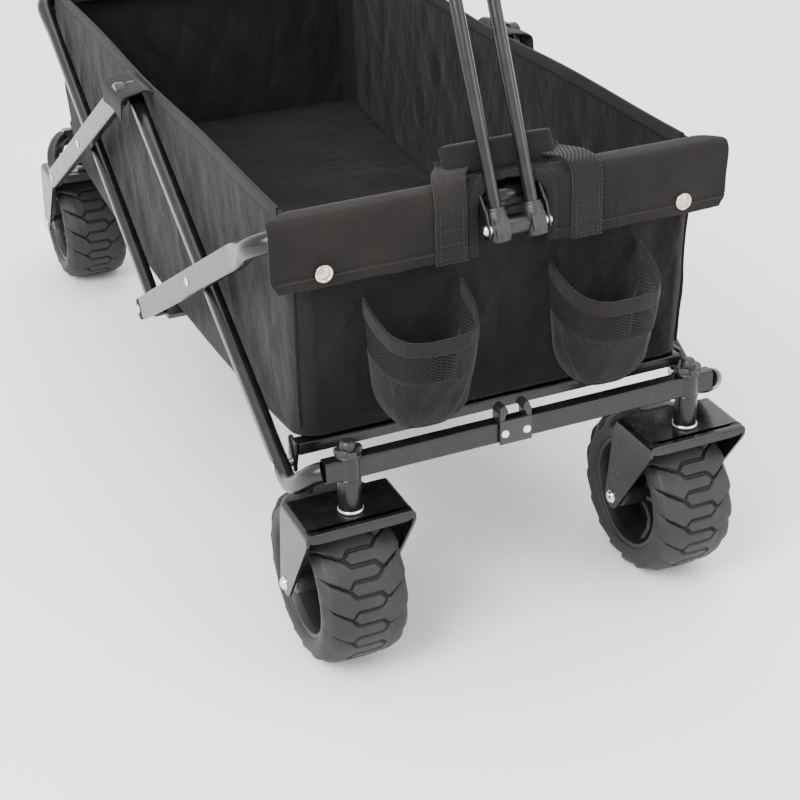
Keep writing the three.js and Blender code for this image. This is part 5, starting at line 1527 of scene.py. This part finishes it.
def make_pockets():
    for side, sign in (("left", 1), ("right", -1)):
        node = f"pocket_{side}"
        body = body_of(node)
        x = sign * POCKET_X
        cup = pocket_grid(x, 0.0, NET_FROM + 0.02, 60, 110, wrinkle=1.6, seed=60 + sign)
        cup[0] = pocket_grid(x, 0.0, 0.0, 1, 110)[0]
        made = piece(f"{node}_cup", [grid_shell(cup), grid_shell(pocket_base(x))], CUP_CLOTH,
                     body, [node], thickness=CUP_THICKNESS)
        net = net_object(f"{node}_net", x, body)
        rim = pocket_grid(x, HEM_FROM, 1.0, 10, 110, grow=0.4, wrinkle=0.7, seed=70 + sign)
        made = piece(f"{node}_hem", [grid_shell(rim)], BINDING, body,
                     thickness=MOUTH_THICKNESS)


make_pockets()

# %% [markdown]
# ## Carrying strap
# Two bands of ribbed webbing are sewn to the flap, turn in above it and hold a wrap behind the handle. The
# wrap is one flattened pad of cloth over foam, blown up a little by a cloth simulation.

# %% Bands and wrap
BAND_WIDTH, BAND_THICKNESS = 31.5, 1.8
BAND_LOW_Z, BAND_TURN_Z = 397.0, 452.0
WRAP_MIDDLE, WRAP_HALF, WRAP_Y, WRAP_Z = 2.5, 57.0, -RAIL_Y + 17.0, 482.0


def band_grid(x_low, x_high):
    """A flat band up the flap's front, over its top, and round to lie against the wrap's underside."""
    face = -RAIL_Y - FLAP_FRONT - 2.4
    path = np.array([(x_low, face, BAND_LOW_Z), (x_low, face, BAND_TURN_Z), (x_low, face + 3, 469.5),
                     (x_low + (x_high - x_low) * 0.3, -RAIL_Y + 2, 475.0),
                     (x_high, WRAP_Y - 1, 477.0), (x_high, WRAP_Y + 2, 481.0)])
    line = resample(soften(path, 16, 10), 90)
    turn = smoothstep(0.55, 0.9, np.linspace(0, 1, 90))[:, None]
    across = unit((1 - turn) * [1.0, 0, 0] + turn * [0.75, 0.25 * np.sign(x_low), 0.0])
    reach = np.linspace(-0.5, 0.5, 15) * BAND_WIDTH
    grid = line[None] + reach[:, None, None] * across[None]
    bulge = 1.0 * np.cos(np.linspace(-0.5, 0.5, 15) * np.pi)[:, None] * np.sin(np.pi * np.linspace(0, 1, 90))
    grid[..., 1] -= bulge * 0.6
    return facing(grid, "front")


def make_bands():
    grids = [band_grid(*place) for place in BAND_PLACES]
    made = piece("strap_bands", [grid_shell(grid) for grid in grids], WEBBING,
                 body_of("carry_strap"), thickness=BAND_THICKNESS)


make_bands()


def wrap_pad():
    """A flattened tube, blown up a little by a cloth simulation so that its cloth pulls in round the ends."""
    x = np.linspace(-WRAP_HALF, WRAP_HALF, 60)
    ends = np.clip(1 - (np.abs(x) / WRAP_HALF) ** 14, 0.15, 1) ** 0.5
    section = round_box(5.6 * ends, 15.0 * (0.9 + 0.1 * ends), 5.2 * ends, 10)
    path = np.stack([x + WRAP_MIDDLE, np.full(60, MIDDLE_Y + WRAP_Y), np.full(60, WRAP_Z)], -1)
    made = piece("strap_wrap", [rod(path, HANDLE_RUN, section)], WEBBING, body_of("carry_strap"),
                 ["carry_strap"])
    return made


def plump(made, frames, pressure, limit):
    """Runs a pressure cloth simulation on a remeshed pad and keeps each point's move within a limit."""
    scene = bpy.context.scene
    remesh = made.modifiers.new("even_mesh", "REMESH")
    remesh.mode = "VOXEL"
    remesh.voxel_size = 3.0 * MM
    bpy.context.view_layer.objects.active = made
    bpy.ops.object.modifier_apply(modifier=remesh.name)
    start = np.empty(len(made.data.vertices) * 3)
    made.data.vertices.foreach_get("co", start)
    cloth = made.modifiers.new("cloth", "CLOTH")
    cloth.settings.use_pressure = True
    cloth.settings.uniform_pressure_force = pressure
    cloth.settings.effector_weights.gravity = 0.0
    cloth.settings.quality = 6
    cloth.point_cache.frame_start, cloth.point_cache.frame_end = 1, frames
    for number in range(1, frames + 1):
        scene.frame_set(number)
    graph = bpy.context.evaluated_depsgraph_get()
    shaped = made.evaluated_get(graph).to_mesh()
    end = np.empty(len(shaped.vertices) * 3)
    shaped.vertices.foreach_get("co", end)
    made.modifiers.remove(cloth)
    scene.frame_set(1)
    move = (end - start).reshape(-1, 3)
    size = np.linalg.norm(move, axis=1, keepdims=True)
    move *= np.minimum(1, limit * MM / np.maximum(size, 1e-9))
    made.data.vertices.foreach_set("co", (start + move.ravel()))
    made.data.shade_smooth()
    made.data.update()
    smooth = made.modifiers.new("fine", "SUBSURF")
    smooth.levels = smooth.render_levels = 1
    print("pad simulated; largest move", round(float(size.max() / MM), 2), "mm, points", len(start) // 3)


PAD_FRAMES, PAD_PRESSURE, PAD_LIMIT_MM = 20, 4.0, 3.0
pad = wrap_pad()
plump(pad, PAD_FRAMES, PAD_PRESSURE, PAD_LIMIT_MM)


# %% Stitches
def stitch_rows(lines, spacing=3.4, length=2.4, radius=0.34):
    """Small capsules laid end to end along lines; each line is its points and the direction it faces."""
    ring = np.array([(-0.5, 0.0), (-0.36, 1.0), (0.0, 1.15), (0.36, 1.0), (0.5, 0.0)])
    angle = np.linspace(0, 2 * np.pi, 6, endpoint=False)
    shells = []
    for line, normal in lines:
        total = np.linalg.norm(np.diff(line, axis=0), axis=1).sum()
        at = resample(line, max(3, int(total / spacing)))
        run = unit(np.gradient(at, axis=0))
        side = unit(np.cross(run, np.broadcast_to(normal, run.shape)))
        up = np.cross(side, run)
        spokes = np.cos(angle)[None, :, None] * side[:, None] + np.sin(angle)[None, :, None] * up[:, None]
        body = (at[:, None, None] + run[:, None, None] * (ring[None, :, None, :1] * length)
                + spokes[:, None] * ring[None, :, None, 1:] * radius)
        each = len(ring) * 6
        i, j = np.meshgrid(np.arange(len(ring) - 1), np.arange(6), indexing="ij")
        quad = np.stack([i * 6 + j, i * 6 + (j + 1) % 6, (i + 1) * 6 + (j + 1) % 6, (i + 1) * 6 + j],
                        -1).reshape(-1, 4)
        faces = (quad[None] + np.arange(len(at))[:, None, None] * each).reshape(-1, 4)
        shells.append((body.reshape(-1, 3), faces.tolist(), np.zeros((len(faces) * 4, 2))))
    return shells


FLAP_STITCHES, REAR_STITCH_HALF = ((-226, -40), (46, 226)), 205
BAND_STITCH_SIDE, BAND_STITCH_HALF = 11.5, 11
BAND_STITCH_FROM, BAND_STITCH_TO, BAND_STITCH_ROWS = 401, 449, (402.0, 416.0, 430.0)


def seam(start, stop, count, end="front"):
    """A straight seam's evenly spaced points, and the direction that it faces."""
    return facing(np.linspace(start, stop, count), end), (0, -1.0 if end == "front" else 1.0, 0)


def make_stitches():
    """Rows along both flaps' hems and the strap bands."""
    face = -RAIL_Y - FLAP_FRONT - 2.1
    band_face = face - 1.8
    flap = [seam((a, face, HEM_STITCH_Z), (b, face, HEM_STITCH_Z), 80) for a, b in FLAP_STITCHES]
    for middle, _ in BAND_PLACES:
        for x in (middle - BAND_STITCH_SIDE, middle + BAND_STITCH_SIDE):
            flap.append(seam((x, band_face, BAND_STITCH_FROM), (x, band_face, BAND_STITCH_TO), 20))
        for z in BAND_STITCH_ROWS:
            flap.append(seam((middle - BAND_STITCH_HALF, band_face, z),
                             (middle + BAND_STITCH_HALF, band_face, z), 8))
    piece("flap_stitches", stitch_rows(flap), THREAD, body_of("front_flap"))
    rear = [seam((-REAR_STITCH_HALF, face, HEM_STITCH_Z), (REAR_STITCH_HALF, face, HEM_STITCH_Z), 120,
                 "rear")]
    piece("rear_flap_stitches", stitch_rows(rear), THREAD, body_of("rear_flap"))
    print("stitch rows", len(flap) + len(rear))


make_stitches()

# %% [markdown]
# ## Stage and light
# A plain pale floor runs up into a backdrop. A big soft light stands high at the cart's right front, as the
# bright flank of the frame shows, with a weaker one opposite, one overhead and an even white surrounding.

# %% Floor and lights
STAGE_NEAR, STAGE_FAR, STAGE_TALL, STAGE_HALF, STAGE_BEND = 3.0, 3.2, 4.0, 4.5, 1.2


def make_stage():
    depth = resample(soften([(-STAGE_NEAR, 0), (STAGE_FAR, 0), (STAGE_FAR, STAGE_TALL)], STAGE_BEND, 16), 60)
    x = np.linspace(-STAGE_HALF, STAGE_HALF, 12)
    ahead = np.array([-math.sin(CAMERA_TURN), math.cos(CAMERA_TURN), 0])
    aside = np.array([math.cos(CAMERA_TURN), math.sin(CAMERA_TURN), 0])
    grid = x[:, None, None] * aside + depth[None, :, :1] * ahead + depth[None, :, 1:] * Z
    points, faces, _ = grid_shell(grid[:, ::-1])
    mesh = bpy.data.meshes.new("floor_and_backdrop")
    mesh.from_pydata(points.tolist(), [], faces)
    mesh.shade_smooth()
    floor = bpy.data.objects.new("floor_and_backdrop", mesh)
    bpy.context.scene.collection.objects.link(floor)
    finish = Finish("pale_floor", 0.75)
    fine, broad = finish.group(GRAIN, finish.place, 30.0)
    finish.feed("Base Color", finish.colour(broad, (0.3, (0.93, 0.93, 0.925)), (0.7, (0.96, 0.96, 0.955))))
    finish.roughen(fine, 0.65, 0.85)
    mesh.materials.append(finish.material)


def area_light(name, place, target, size, watts, colour=(1, 1, 1)):
    data = bpy.data.lights.new(name, "AREA")
    data.shape = "RECTANGLE"
    data.size, data.size_y = size
    data.energy = watts
    data.color = colour
    lamp = bpy.data.objects.new(name, data)
    lamp.location = place
    away = np.array(place) - np.array(target)
    lamp.rotation_euler = Vector(away).to_track_quat("Z", "Y").to_euler()
    bpy.context.scene.collection.objects.link(lamp)


def make_light():
    world = bpy.data.worlds.new("white_room")
    bpy.context.scene.world = world
    world.use_nodes = True
    world.node_tree.nodes["Background"].inputs["Color"].default_value = (1, 0.99, 0.98, 1)
    world.node_tree.nodes["Background"].inputs["Strength"].default_value = 1.9
    area_light("key", (-2.2, -1.6, 2.6), (0, 0, 0.3), (1.6, 1.6), 150, (1, 0.985, 0.96))
    area_light("front_fill", (1.6, -2.6, 1.4), (0, -0.3, 0.2), (1.6, 1.2), 22)
    area_light("top", (0.2, 0.3, 3.0), (0, 0, 0.2), (2.4, 2.4), 45)


make_stage()
make_light()
